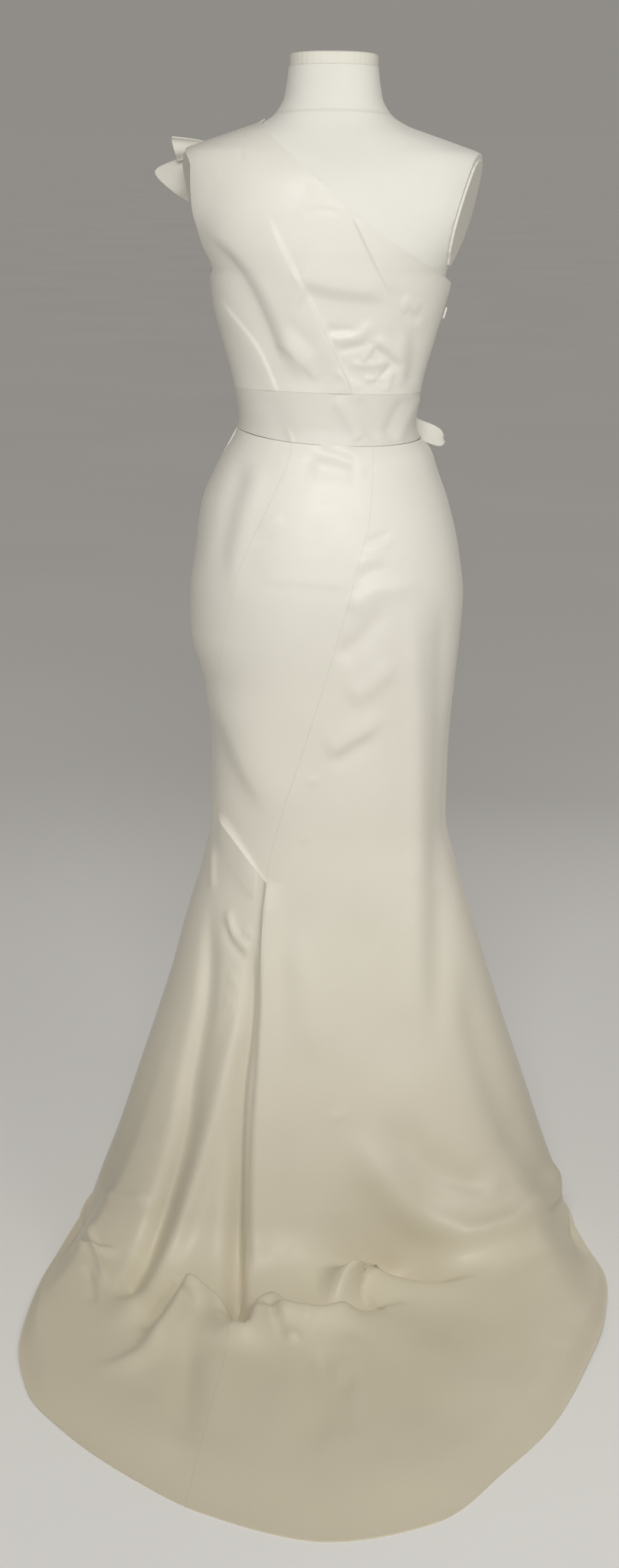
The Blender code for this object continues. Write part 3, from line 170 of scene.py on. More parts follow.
# Folds, each along a path of places: x, then height on the body or drop on the skirt, which is the
# height of the hanging cloth above the floor, or minus how far out it lies on it. Paths run down or
# to the right. In millimetres: height at the start and at the end (minus is a trough), width of the
# slope on the right or upper side at both ends, width on the left or lower side at both ends. Then the
# shares of the path over which the fold comes in and dies out.
PATH_STEPS = 14         # steps of a fold's line for each stretch of its path
FOLD_REACH = 0.0028     # a fold ends this many metres from its line for each millimetre of width
BODICE_BACK_FOLDS = [
    (2.0, 4.6, 2.2, 2.0, 20, 24, .25, .08,
     [(-.0848, 1.4008), (-.0696, 1.3697), (-.0490, 1.3287), (-.0264, 1.2849), (-.0020, 1.2340),
      (.0300, 1.166)]),
    (3.4, 5.0, 44, 28, 15, 12, .15, .12,
     [(-.166, 1.392), (-.1519, 1.3827), (-.1175, 1.3539), (-.0933, 1.3275), (-.0759, 1.2977),
      (-.0624, 1.2672), (-.0483, 1.2295), (-.0290, 1.188)]),
    (-3.0, -3.5, 8, 8, 26, 20, .2, .2,
     [(-.160, 1.365), (-.124, 1.335), (-.104, 1.305), (-.088, 1.272), (-.074, 1.238), (-.060, 1.200)]),
    (1.6, 2.1, 2.2, 2.2, 14, 16, .20, .10,
     [(-.1394, 1.2919), (-.1179, 1.2647), (-.0934, 1.2314), (-.0795, 1.2041), (-.0650, 1.168)]),
    (1.6, 2.2, 12, 12, 2.4, 2.4, .2, .2,
     [(.0233, 1.3972), (.0353, 1.3724), (.0527, 1.3376), (.0770, 1.291)]),
    (2.6, 2.4, 30, 26, 10, 10, .15, .25,
     [(-.0522, 1.3268), (-.0320, 1.3170), (.0023, 1.3091), (.0364, 1.3041), (.0723, 1.3000)]),
    (-3.6, -2.6, 11, 11, 34, 26, .1, .3,
     [(-.040, 1.300), (-.0268, 1.2946), (.0026, 1.2870), (.0539, 1.2820), (.080, 1.279)]),
    (-.8, -.8, 5, 5, 4, 4, .35, .35,
     [(-.0378, 1.390), (-.0191, 1.3993), (-.0020, 1.3981), (.0116, 1.390)]),
    (-2.4, -1.8, 6, 6, 7, 6, .3, .3, [(-.0092, 1.2555), (.0098, 1.2520), (.0312, 1.2545)]),
    (2.8, 2.2, 6, 6, 7, 7, .2, .25, [(-.004, 1.2385), (.0132, 1.2435), (.0300, 1.2450), (.0528, 1.2660)]),
    (-2.0, -1.8, 5, 5, 5, 5, .25, .3,
     [(.004, 1.2265), (.0204, 1.2290), (.0377, 1.2335), (.0500, 1.2430)]),
    (2.4, 2.0, 6, 6, 6, 6, .2, .3, [(.0526, 1.2440), (.0725, 1.2310), (.0920, 1.2094)]),
    (-1.8, -1.5, 4, 4, 5, 5, .25, .3, [(.0490, 1.2330), (.0680, 1.2200), (.0860, 1.2020)]),
    (2.0, 1.8, 4, 4, 4, 4, .25, .3, [(.0371, 1.2114), (.0464, 1.2251), (.0523, 1.2365)]),
    (2.0, 1.8, 5, 5, 6, 6, .25, .25,
     [(.0187, 1.2150), (.0379, 1.2095), (.0553, 1.2100), (.0745, 1.2155)]),
    (-1.8, -1.6, 3, 3, 4, 4, .25, .3, [(.0504, 1.1830), (.0660, 1.1988), (.0783, 1.2129)]),
    (1.8, 1.6, 4, 4, 4, 4, .25, .3, [(.0397, 1.1926), (.0556, 1.1900), (.0660, 1.1955)]),
    (1.6, 1.4, 5, 5, 6, 6, .3, .2, [(.0810, 1.2050), (.0730, 1.1900), (.0690, 1.1720)]),
    (1.3, 1.2, 5, 5, 5, 5, .3, .2, [(.000, 1.206), (.018, 1.192), (.041, 1.176)]),
    (1.8, 1.6, 6, 6, 9, 9, .3, .3, [(.0855, 1.2933), (.0935, 1.2893), (.1120, 1.2770)]),
    (-1.6, -1.4, 7, 7, 7, 7, .3, .3, [(.088, 1.278), (.096, 1.272), (.112, 1.262)]),
    (-1.8, -1.8, 9, 9, 8, 8, .3, .15, [(.100, 1.262), (.105, 1.225), (.098, 1.178)]),
    (1.8, 1.6, 8, 8, 8, 8, .3, .15, [(.086, 1.252), (.089, 1.212), (.083, 1.176)]),
    (2.0, 1.8, 13, 12, 6, 6, .25, .15,
     [(-.0742, 1.2384), (-.0519, 1.2295), (-.0344, 1.2124), (-.0140, 1.188)]),
    (-1.6, -1.2, 9, 9, 9, 9, .3, .3, [(-.0608, 1.2702), (-.0311, 1.2403), (-.016, 1.220)]),
    (-1.0, -.9, 3, 3, 3, 3, .4, .4, [(-.1171, 1.4713), (-.1096, 1.4540)]),
]
BODICE_FRONT_FOLDS = [
    (4.0, 3.6, 26, 22, 2.6, 2.6, .12, .0,
     [(-.105, 1.420), (-.075, 1.345), (-.035, 1.262), (.006, 1.168)]),
    (3.6, 3.4, 24, 20, 2.6, 2.6, .12, .0, [(-.040, 1.425), (-.005, 1.345), (.032, 1.262), (.064, 1.168)]),
    (3.0, 3.0, 20, 18, 2.6, 2.6, .14, .0, [(.022, 1.385), (.058, 1.310), (.088, 1.235), (.104, 1.168)]),
    (3.0, 2.6, 16, 14, 2.6, 2.6, .15, .0, [(-.140, 1.340), (-.112, 1.268), (-.070, 1.168)]),
    (1.8, 1.4, 7, 7, 8, 8, .3, .3, [(-.030, 1.215), (-.005, 1.206), (.022, 1.214)]),
    (-1.6, -1.4, 7, 7, 6, 6, .3, .3, [(-.034, 1.228), (-.006, 1.220), (.026, 1.228)]),
    (1.6, 1.4, 6, 6, 7, 7, .3, .3, [(.045, 1.205), (.070, 1.196), (.092, 1.206)]),
    (1.5, 1.2, 8, 8, 8, 8, .3, .3, [(-.105, 1.225), (-.085, 1.200), (-.075, 1.176)]),
    (-2.0, -1.6, 20, 20, 16, 16, .3, .3, [(-.130, 1.300), (-.100, 1.240), (-.085, 1.190)]),
]
BAND_BACK_FOLDS = [
    (.8, .8, 3, 3, 4, 4, .3, .0, [(-.056, 1.130), (-.050, 1.117), (-.045, 1.102)]),
    (1.7, 1.5, 10, 9, 8, 8, .2, .1, [(.003, 1.168), (.020, 1.145), (.038, 1.112)]),
    (-1.4, -1.4, 8, 8, 8, 8, .2, .1, [(.032, 1.168), (.045, 1.140), (.058, 1.110)]),
    (2.0, 2.0, 8, 8, 7, 7, .1, .1, [(.114, 1.164), (.098, 1.140), (.084, 1.108)]),
    (-1.6, -1.6, 7, 7, 7, 7, .2, .2, [(.094, 1.166), (.080, 1.145), (.068, 1.112)]),
    (-1.0, -1.2, 14, 14, 12, 12, .2, .2, [(-.080, 1.168), (-.066, 1.140), (-.058, 1.105)]),
]
BAND_FRONT_FOLDS = [
    (1.6, 1.4, 9, 9, 8, 8, .2, .1, [(-.060, 1.168), (-.045, 1.140), (-.030, 1.108)]),
    (-1.4, -1.4, 8, 8, 8, 8, .2, .1, [(-.030, 1.168), (-.018, 1.140), (-.006, 1.108)]),
    (1.8, 1.6, 8, 8, 8, 8, .2, .1, [(.090, 1.166), (.074, 1.140), (.062, 1.108)]),
    (1.2, 1.2, 7, 7, 7, 7, .2, .1, [(.020, 1.166), (.026, 1.140), (.036, 1.108)]),
]
SKIRT_BACK_FOLDS = [
    # under the waistband and over the hips
    (-3.4, -2.8, 6, 5, 8, 6, .3, .2, [(-.028, 1.099), (.000, 1.094), (.037, 1.083)]),
    (1.8, 1.6, 6, 6, 5, 5, .3, .3, [(-.020, 1.109), (.010, 1.103), (.040, 1.093)]),
    (2.4, 2.0, 8, 8, 16, 14, .3, .3, [(-.030, 1.084), (.000, 1.078), (.034, 1.068)]),
    (-1.6, -1.6, 4, 4, 4, 4, .4, .4, [(.0405, 1.070), (.0585, 1.079)]),
    (-1.1, -1.0, 4, 4, 4, 4, .4, .4, [(-.102, .982), (-.084, .987), (-.066, .995)]),
    (1.0, 1.0, 5, 5, 6, 6, .4, .4, [(-.094, 1.006), (-.076, 1.010), (-.056, 1.018)]),
    (-2.8, -2.2, 12, 12, 12, 12, .2, .3, [(-.108, 1.090), (-.132, 1.010), (-.146, .930)]),
    (2.4, 1.8, 12, 12, 12, 12, .2, .3, [(-.084, 1.090), (-.108, 1.010), (-.122, .935), (-.124, .90)]),
    (.9, .9, 26, 26, 4, 4, .2, .3,
     [(-.094, .937), (-.0774, .9366), (-.0287, .9352), (.0273, .931), (.050, .929)]),
    (-1.8, -1.6, 5, 5, 6, 6, .3, .4, [(.0387, .9828), (.0685, .994), (.0831, 1.0038)]),
    (1.3, 1.2, 4, 4, 7, 7, .3, .4, [(.036, .974), (.067, .984), (.088, .995)]),
    (4.4, 3.0, 9, 8, 16, 14, .2, .35, [(.022, .896), (.0395, .9150), (.0691, .9290), (.1235, .928)]),
    (-1.6, -1.4, 6, 6, 6, 6, .2, .4, [(.032, .938), (.053, .950), (.082, .956)]),
    (1.4, 1.2, 6, 6, 7, 7, .2, .4, [(.034, .955), (.052, .966), (.076, .972)]),
    (-4.8, -3.4, 13, 13, 16, 14, .2, .35, [(.008, .834), (.0408, .862), (.0817, .912)]),
    (4.2, 3.6, 18, 18, 14, 14, .25, .35, [(.022, .780), (.054, .800), (.088, .838)]),
    (4.6, 3.4, 18, 18, 10, 10, .2, .35,
     [(-.0066, .709), (.0126, .7196), (.0273, .7294), (.0563, .7464), (.080, .766)]),
    (-2.2, -1.6, 8, 8, 14, 14, .3, .35, [(-.002, .692), (.028, .708), (.070, .732)]),
    (1.6, 1.4, 4, 4, 5, 5, .4, .4, [(-.0282, .667), (-.0098, .679)]),
    (1.2, 1.1, 4, 4, 4, 4, .4, .4, [(-.038, .588), (-.0141, .602)]),
    (6.0, 5.0, 46, 40, 22, 18, .3, .4,
     [(-.146, .800), (-.1378, .7714), (-.1172, .7154), (-.0961, .6700), (-.0861, .6549),
      (-.0607, .612)]),
    (-3.0, -2.5, 18, 16, 34, 28, .3, .4,
     [(-.160, .758), (-.150, .726), (-.128, .678), (-.104, .640), (-.078, .602)]),
    (-4.2, -6.0, 12, 20, 14, 20, .15, .2,
     [(.1451, .9304), (.1531, .6776), (.1537, .4774), (.1497, .2828)]),
    (3.2, 4.2, 13, 18, 13, 18, .2, .3, [(.106, .94), (.117, .70), (.121, .50), (.122, .33)]),
    # the godet
    (7.0, 6.6, 6, 5, 22, 18, .18, .04,
     [(-.1470, .6140), (-.1298, .5925), (-.1184, .5768), (-.1060, .5600), (-.0947, .5424),
      (-.0795, .5230)]),
    (2.4, 2.2, 3, 3, 4, 4, .3, .3, [(-.1468, .5938), (-.1373, .5804), (-.1319, .5724), (-.1285, .5622)]),
    (2.8, 2.4, 4, 4, 6, 6, .25, .3, [(-.1500, .5672), (-.1505, .5380), (-.1498, .5040)]),
    (3.8, 3.4, 6, 5, 6, 5, .2, .15, [(-.1297, .4931), (-.1233, .4655), (-.1092, .4491), (-.0971, .4399)]),
    (-2.6, -2.4, 3, 3, 7, 7, .25, .25, [(-.1345, .474), (-.1255, .452), (-.1112, .4371), (-.100, .430)]),
    (2.4, 2.0, 4, 4, 5, 5, .35, .35, [(-.1115, .4665), (-.0935, .4621)]),
    (2.0, 1.8, 4, 4, 5, 5, .35, .35, [(-.131, .404), (-.113, .398)]),
    (1.8, 1.6, 4, 4, 5, 5, .35, .35, [(-.136, .373), (-.116, .369)]),
    (-6.0, -28, 13, 30, 7, 14, .15, .1,
     [(-.1490, .5048), (-.1546, .4563), (-.1572, .4179), (-.1615, .3675), (-.1700, .3154), (-.180, .265),
      (-.190, .190), (-.210, .100), (-.228, .020), (-.243, -.060), (-.264, -.145)]),
    (4.0, 24, 10, 20, 14, 26, .2, .25,
     [(-.1058, .4255), (-.1078, .3827), (-.1132, .3458), (-.1226, .310), (-.1400, .235), (-.1596, .1601),
      (-.1915, .0496), (-.2181, -.0407), (-.2437, -.1422), (-.2752, -.2304)]),
    (-9.0, -26, 5, 8, 10, 18, .1, .06,
     [(-.0948, .4575), (-.0972, .3771), (-.1009, .3258), (-.1090, .255), (-.1126, .1513),
      (-.1129, .0664), (-.1102, -.0325), (-.1076, -.1409), (-.1050, -.196)]),
    (9.0, 6.0, 15, 22, 4, 7, .06, .12,
     [(-.0740, .537), (-.0790, .490), (-.0815, .445), (-.0815, .380), (-.0835, .328), (-.0855, .287),
      (-.0900, .2057), (-.0915, .0985), (-.0895, -.030)]),
    (5.5, 4.0, 6, 6, 16, 16, .3, .25, [(-.3126, .068), (-.2740, .0733), (-.2290, .0899)]),
    (6.0, 4.5, 6, 6, 14, 14, .25, .3, [(-.3425, -.0362), (-.3029, -.0241), (-.2680, -.0084)]),
    (6.0, 4.0, 7, 7, 7, 7, .2, .3,
     [(-.3196, .0252), (-.3085, -.0146), (-.2929, -.0644), (-.2854, -.1167)]),
    (-5.0, -3.0, 6, 6, 8, 8, .3, .3, [(-.315, -.070), (-.303, -.110), (-.296, -.160)]),
    # the sweep of the back panel
    (-4.0, -7.0, 30, 40, 30, 40, .3, .3, [(.0147, .5292), (.0457, .4578), (.0778, .357), (.1396, .2632)]),
    (3.0, 4.0, 22, 26, 22, 30, .3, .3, [(-.0451, .4872), (-.0237, .3878), (-.0039, .2884)]),
    (-5.0, -10, 18, 26, 18, 26, .3, .2, [(.1802, .4228), (.2244, .266), (.2798, .1238)]),
    (1.8, 1.6, 5, 5, 3.5, 3.5, .4, .4, [(-.002, .2235), (.0227, .231), (.0457, .240)]),
    (9.0, 14, 20, 22, 32, 30, .3, .15,
     [(.0230, .2170), (.0667, .1701), (.1190, .1069), (.1667, .0709), (.2095, .0464), (.232, .044)]),
    (12, 12, 18, 16, 34, 30, .2, .0,
     [(.1950, .0504), (.2521, .0604), (.2761, .0749), (.3074, .0857), (.345, .104)]),
    (-6.0, -8.0, 26, 26, 14, 14, .3, .2, [(.075, .235), (.130, .170), (.190, .128), (.235, .112)]),
    (-5.0, -4.0, 4, 4, 5, 5, .1, .4, [(.3382, .0584), (.3080, .0560), (.2940, .0552)]),
    # where the skirt breaks on the floor
    (74, -12, 13, 16, 34, 45, .22, .40,
     [(.0210, -.110), (.0185, -.0737), (.0180, -.0393), (.0225, -.0150), (.0336, -.0160),
      (.0580, -.0325), (.0850, -.050), (.115, -.057), (.1487, -.0572), (.1814, -.050), (.2262, -.0337),
      (.270, -.020)]),
    (14, 26, 7, 9, 18, 26, .1, .1,
     [(-.1809, -.0426), (-.1701, -.0575), (-.1534, -.0839), (-.1313, -.1104), (-.1189, -.1362),
      (-.1110, -.1849), (-.0988, -.1911), (-.0861, -.1659), (-.0826, -.1209), (-.0649, -.0995),
      (-.0518, -.1177), (-.0367, -.1478), (-.0092, -.1447), (.0218, -.1328), (.0240, -.100)]),
    (9.0, 9.0, 10, 10, 60, 60, .2, .2,
     [(-.160, -.110), (-.110, -.165), (-.060, -.140), (-.010, -.155), (.060, -.120), (.140, -.100)]),
    (16, 8.0, 14, 18, 7, 9, .08, .3,
     [(-.1727, -.0514), (-.1871, -.1253), (-.2091, -.1960), (-.2333, -.2475)]),
    (-9.0, -7.0, 6, 6, 8, 8, .15, .2,
     [(-.1800, -.0420), (-.1995, -.0974), (-.2145, -.1514), (-.2364, -.2003)]),
    (12, 7.0, 18, 20, 9, 12, .15, .3,
     [(-.1721, -.0819), (-.1906, -.1605), (-.2209, -.2422), (-.2528, -.2870), (-.2953, -.3128)]),
    (7.0, 8.0, 9, 9, 5, 5, .35, .1, [(-.0599, -.1257), (-.050, -.165), (-.0379, -.2052)]),
    (6.0, 7.0, 5, 5, 9, 9, .35, .1, [(-.0120, -.1481), (-.024, -.175), (-.0379, -.2052)]),
    # the train
    (-8.5, -4.0, 15, 18, 13, 16, .3, .3, [(-.1697, -.1685), (-.1674, -.3216), (-.1610, -.4853)]),
    (4.0, 2.5, 18, 20, 18, 20, .3, .3, [(-.136, -.20), (-.132, -.31), (-.126, -.43)]),
    (-9.0, -4.5, 12, 14, 13, 16, .2, .3,
     [(-.0078, -.1823), (.0028, -.3068), (-.0083, -.4030), (-.0124, -.4945)]),
    (4.0, 2.5, 14, 18, 12, 16, .2, .3, [(.032, -.17), (.040, -.27), (.034, -.37)]),
    (-6.0, -3.0, 12, 14, 12, 14, .3, .3, [(.0352, -.2459), (.0198, -.3651), (.016, -.44)]),
    (3.0, 2.0, 18, 20, 16, 20, .3, .3, [(-.050, -.26), (-.052, -.35), (-.048, -.46)]),
    (-.9, -.9, 2.5, 2.5, 2.5, 2.5, .3, .3, [(-.0118, -.5409), (.0008, -.5646)]),
    (3.5, 3.0, 30, 34, 30, 34, .3, .3, [(.12, -.16), (.16, -.28), (.17, -.40)]),
    (-3.5, -3.0, 24, 26, 24, 26, .3, .3, [(.085, -.17), (.10, -.29), (.10, -.42)]),
    (-3.0, -2.5, 24, 26, 24, 26, .3, .3, [(.215, -.12), (.235, -.21), (.225, -.31)]),
    (3.0, 2.5, 24, 26, 24, 26, .3, .3, [(-.225, -.33), (-.20, -.42), (-.17, -.50)]),
]
# Flutes of the hidden front: direction at their top and at the floor in degrees, height of their top,
# half width at the top and at the floor, depth at the floor (minus is a valley)
FLUTES = [
    (40, 38, 0.500, 0.030, 0.055, 0.016),
    (62, 64, 0.460, 0.028, 0.050, -0.014),
    (88, 90, 0.500, 0.030, 0.055, 0.016),
    (114, 116, 0.450, 0.028, 0.050, -0.014),
    (140, 142, 0.500, 0.030, 0.055, 0.016),
]
# The two flaps of the shoulder ruffle: share along the flap, root on the strap's front, free edge
RUFFLE_UPPER = [
    (0.00, -0.146, 1.4690, -0.2060, 0.040, 1.4850),
    (0.50, -0.155, 1.4620, -0.2045, 0.050, 1.4700),
    (1.00, -0.160, 1.4540, -0.1990, 0.060, 1.4540),
]
RUFFLE_LOWER = [
    (0.00, -0.160, 1.4480, -0.2010, 0.072, 1.4570),
    (0.30, -0.159, 1.4370, -0.2290, 0.080, 1.4390),
    (0.65, -0.156, 1.4220, -0.2080, 0.090, 1.4160),
    (1.00, -0.152, 1.4080, -0.1860, 0.096, 1.4020),
]
RUFFLE_WALL = 0.0015
ROOT_SPARE = 0.0014     # further space under the root of a ruffle flap, where the cloth under it curves
LOOP_SPARE = 0.0004     # further space under the root of the waist loop, and under the side tab
LOOP_FROM, LOOP_HEIGHT = 32, 1.1260     # direction in degrees and height of the loop's root on the band
LOOP_TURN = 8                           # direction in degrees in which the loop points
LOOP_LENGTH, LOOP_THICK, LOOP_TALL, LOOP_SAG = 0.062, 0.015, 0.028, 0.028
LOOP_ROUND, LOOP_FALL = 0.8, 0.6        # how the loop's end rounds, and how it falls from its root
LOOP_TAPER, LOOP_TIP = 0.62, 12         # how much narrower its end is, and how near the tip that starts
LOOP_BELLY = 0.2                        # share by which it is thicker in the middle
TAB_AT, TAB_WIDE = -3, 4                # direction and width of the side tab, in degrees
TAB_LOW, TAB_HIGH = 1.264, 1.277


# Camera, floor and light

CAMERA_PLACE = (-0.0225, -3.30, 1.50)
CAMERA_DOWN, CAMERA_ROLL = 14.6, 0.5    # degrees


def place_camera():
    """The photograph's view, from behind and a little above."""
    data = bpy.data.cameras.new("camera")
    data.lens = 58
    data.sensor_width = 36
    camera = bpy.data.objects.new("camera", data)
    bpy.context.scene.collection.objects.link(camera)
    camera.location = CAMERA_PLACE
    camera.rotation_euler = (math.radians(90 - CAMERA_DOWN), 0, 0)
    camera.rotation_euler.rotate_axis("Z", math.radians(CAMERA_ROLL))
    bpy.context.scene.camera = camera


LAMPS = [       # name, place, aimed at, watts, width, height, spread in degrees, colour
    ("key_lamp", (-0.08, -3.0, 2.45), (0.0, 0.0, 0.85), 21.8, 1.0, 0.9, 110, (1.0, 0.995, 0.975)),
    ("side_lamp", (1.6, -2.2, 1.7), (0.0, 0.0, 1.0), 5.5, 1.2, 1.2, 120, (1.0, 0.985, 0.95)),
    ("back_lamp", (0.5, 2.8, 1.6), (0.0, 0.0, 1.0), 4, 1.4, 1.2, 110, (1.0, 0.98, 0.95)),
]


def light_scene():
    """Soft light from above the camera, weak lamps at the right and beyond, and a pale warm studio."""
    for name, place, aim, watts, wide, tall, spread_angle, colour in LAMPS:
        data = bpy.data.lights.new(name, "AREA")
        data.shape = "RECTANGLE"
        data.size, data.size_y = wide, tall
        data.energy = watts
        data.color = colour
        data.spread = math.radians(spread_angle)
        lamp = bpy.data.objects.new(name, data)
        bpy.context.scene.collection.objects.link(lamp)
        lamp.location = place
        lamp.rotation_euler = (Vector(aim) - Vector(place)).to_track_quat("-Z", "Y").to_euler()
    world = bpy.data.worlds.new("studio")
    world.use_nodes = True
    world.node_tree.nodes["Background"].inputs["Color"].default_value = (1.0, 0.955, 0.885, 1)
    world.node_tree.nodes["Background"].inputs["Strength"].default_value = 0.28
    bpy.context.scene.world = world
    bpy.context.scene.view_settings.view_transform = "Standard"


# Materials

SEAM_HEIGHT, SEAM_LEAN = 1.514, 0.10     # seam at the root of the form's neck, and its rise to the back
SATIN_IVORY_AND_PAINTED_SHADE = [         # height, colour: ivory, darker and warmer toward the floor and darkest just above the foot, which is painted shade
    (0.0, (0.69, 0.63, 0.487)),
    (0.03, (0.685, 0.628, 0.487)),
    (0.10, (0.615, 0.567, 0.45)),
    (0.28, (0.70, 0.655, 0.545)),
    (0.55, (0.75, 0.72, 0.63)),
    (0.95, (0.775, 0.755, 0.69)),
]
THREADS = (1800, 260, 1)        # fineness of the thread across and along the cloth


def node_kit(name):
    """A new node material, with short calls to add a node and to join two sockets."""
    material = bpy.data.materials.new(name)
    material.use_nodes = True
    tree = material.node_tree
    shader = tree.nodes["Principled BSDF"]

    def add(kind, **values):
        node = tree.nodes.new("ShaderNode" + kind)
        for key, value in values.items():
            if key in node.inputs:
                node.inputs[key].default_value = value
            else:
                setattr(node, key, value)
        return node

    return material, shader, add, tree.links.new


def ramp(add, stops):
    """Colours between places from 0 to 1."""
    node = add("ValToRGB")
    points = node.color_ramp.elements
    while len(points) < len(stops):
        points.new(0.5)
    for point, (at, colour) in zip(points, stops):
        point.position = at
        point.color = (*colour, 1)
    return node


def multiplied(add, join, first, second):
    """Product of two colours."""
    both = add("Mix", data_type="RGBA", blend_type="MULTIPLY")
    both.inputs["Factor"].default_value = 1.0
    join(first, both.inputs["A"])
    join(second, both.inputs["B"])
    return both.outputs["Result"]


def satin_finish(name, shade=1.0):
    """Duchess satin: ivory, with painted shade that makes it darker and warmer toward the floor and the
    train, and a soft gloss, fine thread and handling marks.
    """
    material, shader, add, join = node_kit(name)
    place = add("TexCoord")
    apart = add("SeparateXYZ")
    join(place.outputs["Object"], apart.inputs["Vector"])
    # colour by height: painted shade, darker and warmer toward the floor and the foot
    tone = ramp(add, SATIN_IVORY_AND_PAINTED_SHADE)
    join(apart.outputs["Z"], tone.inputs["Fac"])
    cloud = add("TexNoise", Scale=5.0, Detail=3.0, Roughness=0.55)
    join(place.outputs["Object"], cloud.inputs["Vector"])
    # random patches a little darker, all times the shade factor, which below 1 is painted shade
    dim = ramp(add, [(0.30, (0.955 * shade,) * 3), (0.70, (shade,) * 3)])
    join(cloud.outputs["Fac"], dim.inputs["Fac"])
    join(multiplied(add, join, tone.outputs["Color"], dim.outputs["Color"]), shader.inputs["Base Color"])
    thread_way = add("Mapping")
    thread_way.inputs["Scale"].default_value = THREADS
    join(place.outputs["UV"], thread_way.inputs["Vector"])
    thread = add("TexNoise", Scale=1.0, Detail=2.0)
    join(thread_way.outputs["Vector"], thread.inputs["Vector"])
    handling = add("TexNoise", Scale=26.0, Detail=4.0, Roughness=0.6)
    join(place.outputs["Object"], handling.inputs["Vector"])
    gloss = ramp(add, [(0.35, (0.46,) * 3), (0.70, (0.56,) * 3)])
    join(handling.outputs["Fac"], gloss.inputs["Fac"])
    join(gloss.outputs["Color"], shader.inputs["Roughness"])
    soft = add("Bump", Strength=0.22, Distance=0.002)
    join(handling.outputs["Fac"], soft.inputs["Height"])
    fine = add("Bump", Strength=0.25, Distance=0.0002)
    join(thread.outputs["Fac"], fine.inputs["Height"])
    join(soft.outputs["Normal"], fine.inputs["Normal"])
    join(fine.outputs["Normal"], shader.inputs["Normal"])
    shader.inputs["Specular IOR Level"].default_value = 0.62
    shader.inputs["Sheen Weight"].default_value = 0.12
    shader.inputs["Sheen Roughness"].default_value = 0.35
    return material


def cover_finish(name):
    """Cream linen-like cover of the form, with a seam round the root of its neck and painted shade along it.
    """
    material, shader, add, join = node_kit(name)
    place = add("TexCoord")
    weave_a = add("TexWave", Scale=420.0, Distortion=1.2, Detail=1.0, bands_direction="Z")
    weave_b = add("TexWave", Scale=420.0, Distortion=1.2, Detail=1.0, bands_direction="X")
    tone = add("TexNoise", Scale=9.0, Detail=4.0)
    for node in (weave_a, weave_b, tone):
        join(place.outputs["Object"], node.inputs["Vector"])
    both = add("Math", operation="ADD")
    join(weave_a.outputs["Fac"], both.inputs[0])
    join(weave_b.outputs["Fac"], both.inputs[1])
    shades = ramp(add, [(0.30, (0.80, 0.79, 0.735)), (0.72, (0.85, 0.84, 0.79))])
    join(tone.outputs["Fac"], shades.inputs["Fac"])
    bump = add("Bump", Strength=0.35, Distance=0.0003)
    join(both.outputs[0], bump.inputs["Height"])
    # the seam is a shallow groove, with painted shade that darkens the cover along it
    apart = add("SeparateXYZ")
    join(place.outputs["Object"], apart.inputs["Vector"])
    lean = add("Math", operation="MULTIPLY_ADD")
    join(apart.outputs["Y"], lean.inputs[0])
    lean.inputs[1].default_value = SEAM_LEAN
    join(apart.outputs["Z"], lean.inputs[2])
    off = add("Math", operation="SUBTRACT")
    join(lean.outputs[0], off.inputs[0])
    off.inputs[1].default_value = SEAM_HEIGHT
    gap = add("Math", operation="ABSOLUTE")
    join(off.outputs[0], gap.inputs[0])
    groove = add("MapRange")
    groove.interpolation_type = "SMOOTHSTEP"
    join(gap.outputs[0], groove.inputs["Value"])
    groove.inputs["From Min"].default_value = 0.0004
    groove.inputs["From Max"].default_value = 0.0030
    sewn = add("Bump", Strength=0.5, Distance=0.001)
    join(groove.outputs["Result"], sewn.inputs["Height"])
    join(bump.outputs["Normal"], sewn.inputs["Normal"])
    join(sewn.outputs["Normal"], shader.inputs["Normal"])
    # painted shade along the seam's groove
    seam_painted_shade = ramp(add, [(0.0, (0.93, 0.925, 0.905)), (1.0, (1.0, 1.0, 1.0))])
    join(groove.outputs["Result"], seam_painted_shade.inputs["Fac"])
    join(multiplied(add, join, shades.outputs["Color"], seam_painted_shade.outputs["Color"]), shader.inputs["Base Color"])
    shader.inputs["Roughness"].default_value = 0.85
    shader.inputs["Sheen Weight"].default_value = 0.2
    return material


def enamel_finish(name, colour, rough):
    """Painted plate, cap, pole or base, with a faint orange peel."""
    material, shader, add, join = node_kit(name)
    place = add("TexCoord")
    tone = add("TexNoise", Scale=14.0, Detail=5.0)
    peel = add("TexNoise", Scale=420.0, Detail=1.0)
    for node in (tone, peel):
        join(place.outputs["Object"], node.inputs["Vector"])
    shades = ramp(add, [(0.3, tuple(0.94 * c for c in colour)), (0.7, colour)])
    join(tone.outputs["Fac"], shades.inputs["Fac"])
    join(shades.outputs["Color"], shader.inputs["Base Color"])
    bump = add("Bump", Strength=0.15, Distance=0.0003)
    join(peel.outputs["Fac"], bump.inputs["Height"])
    join(bump.outputs["Normal"], shader.inputs["Normal"])
    shader.inputs["Roughness"].default_value = rough
    return material


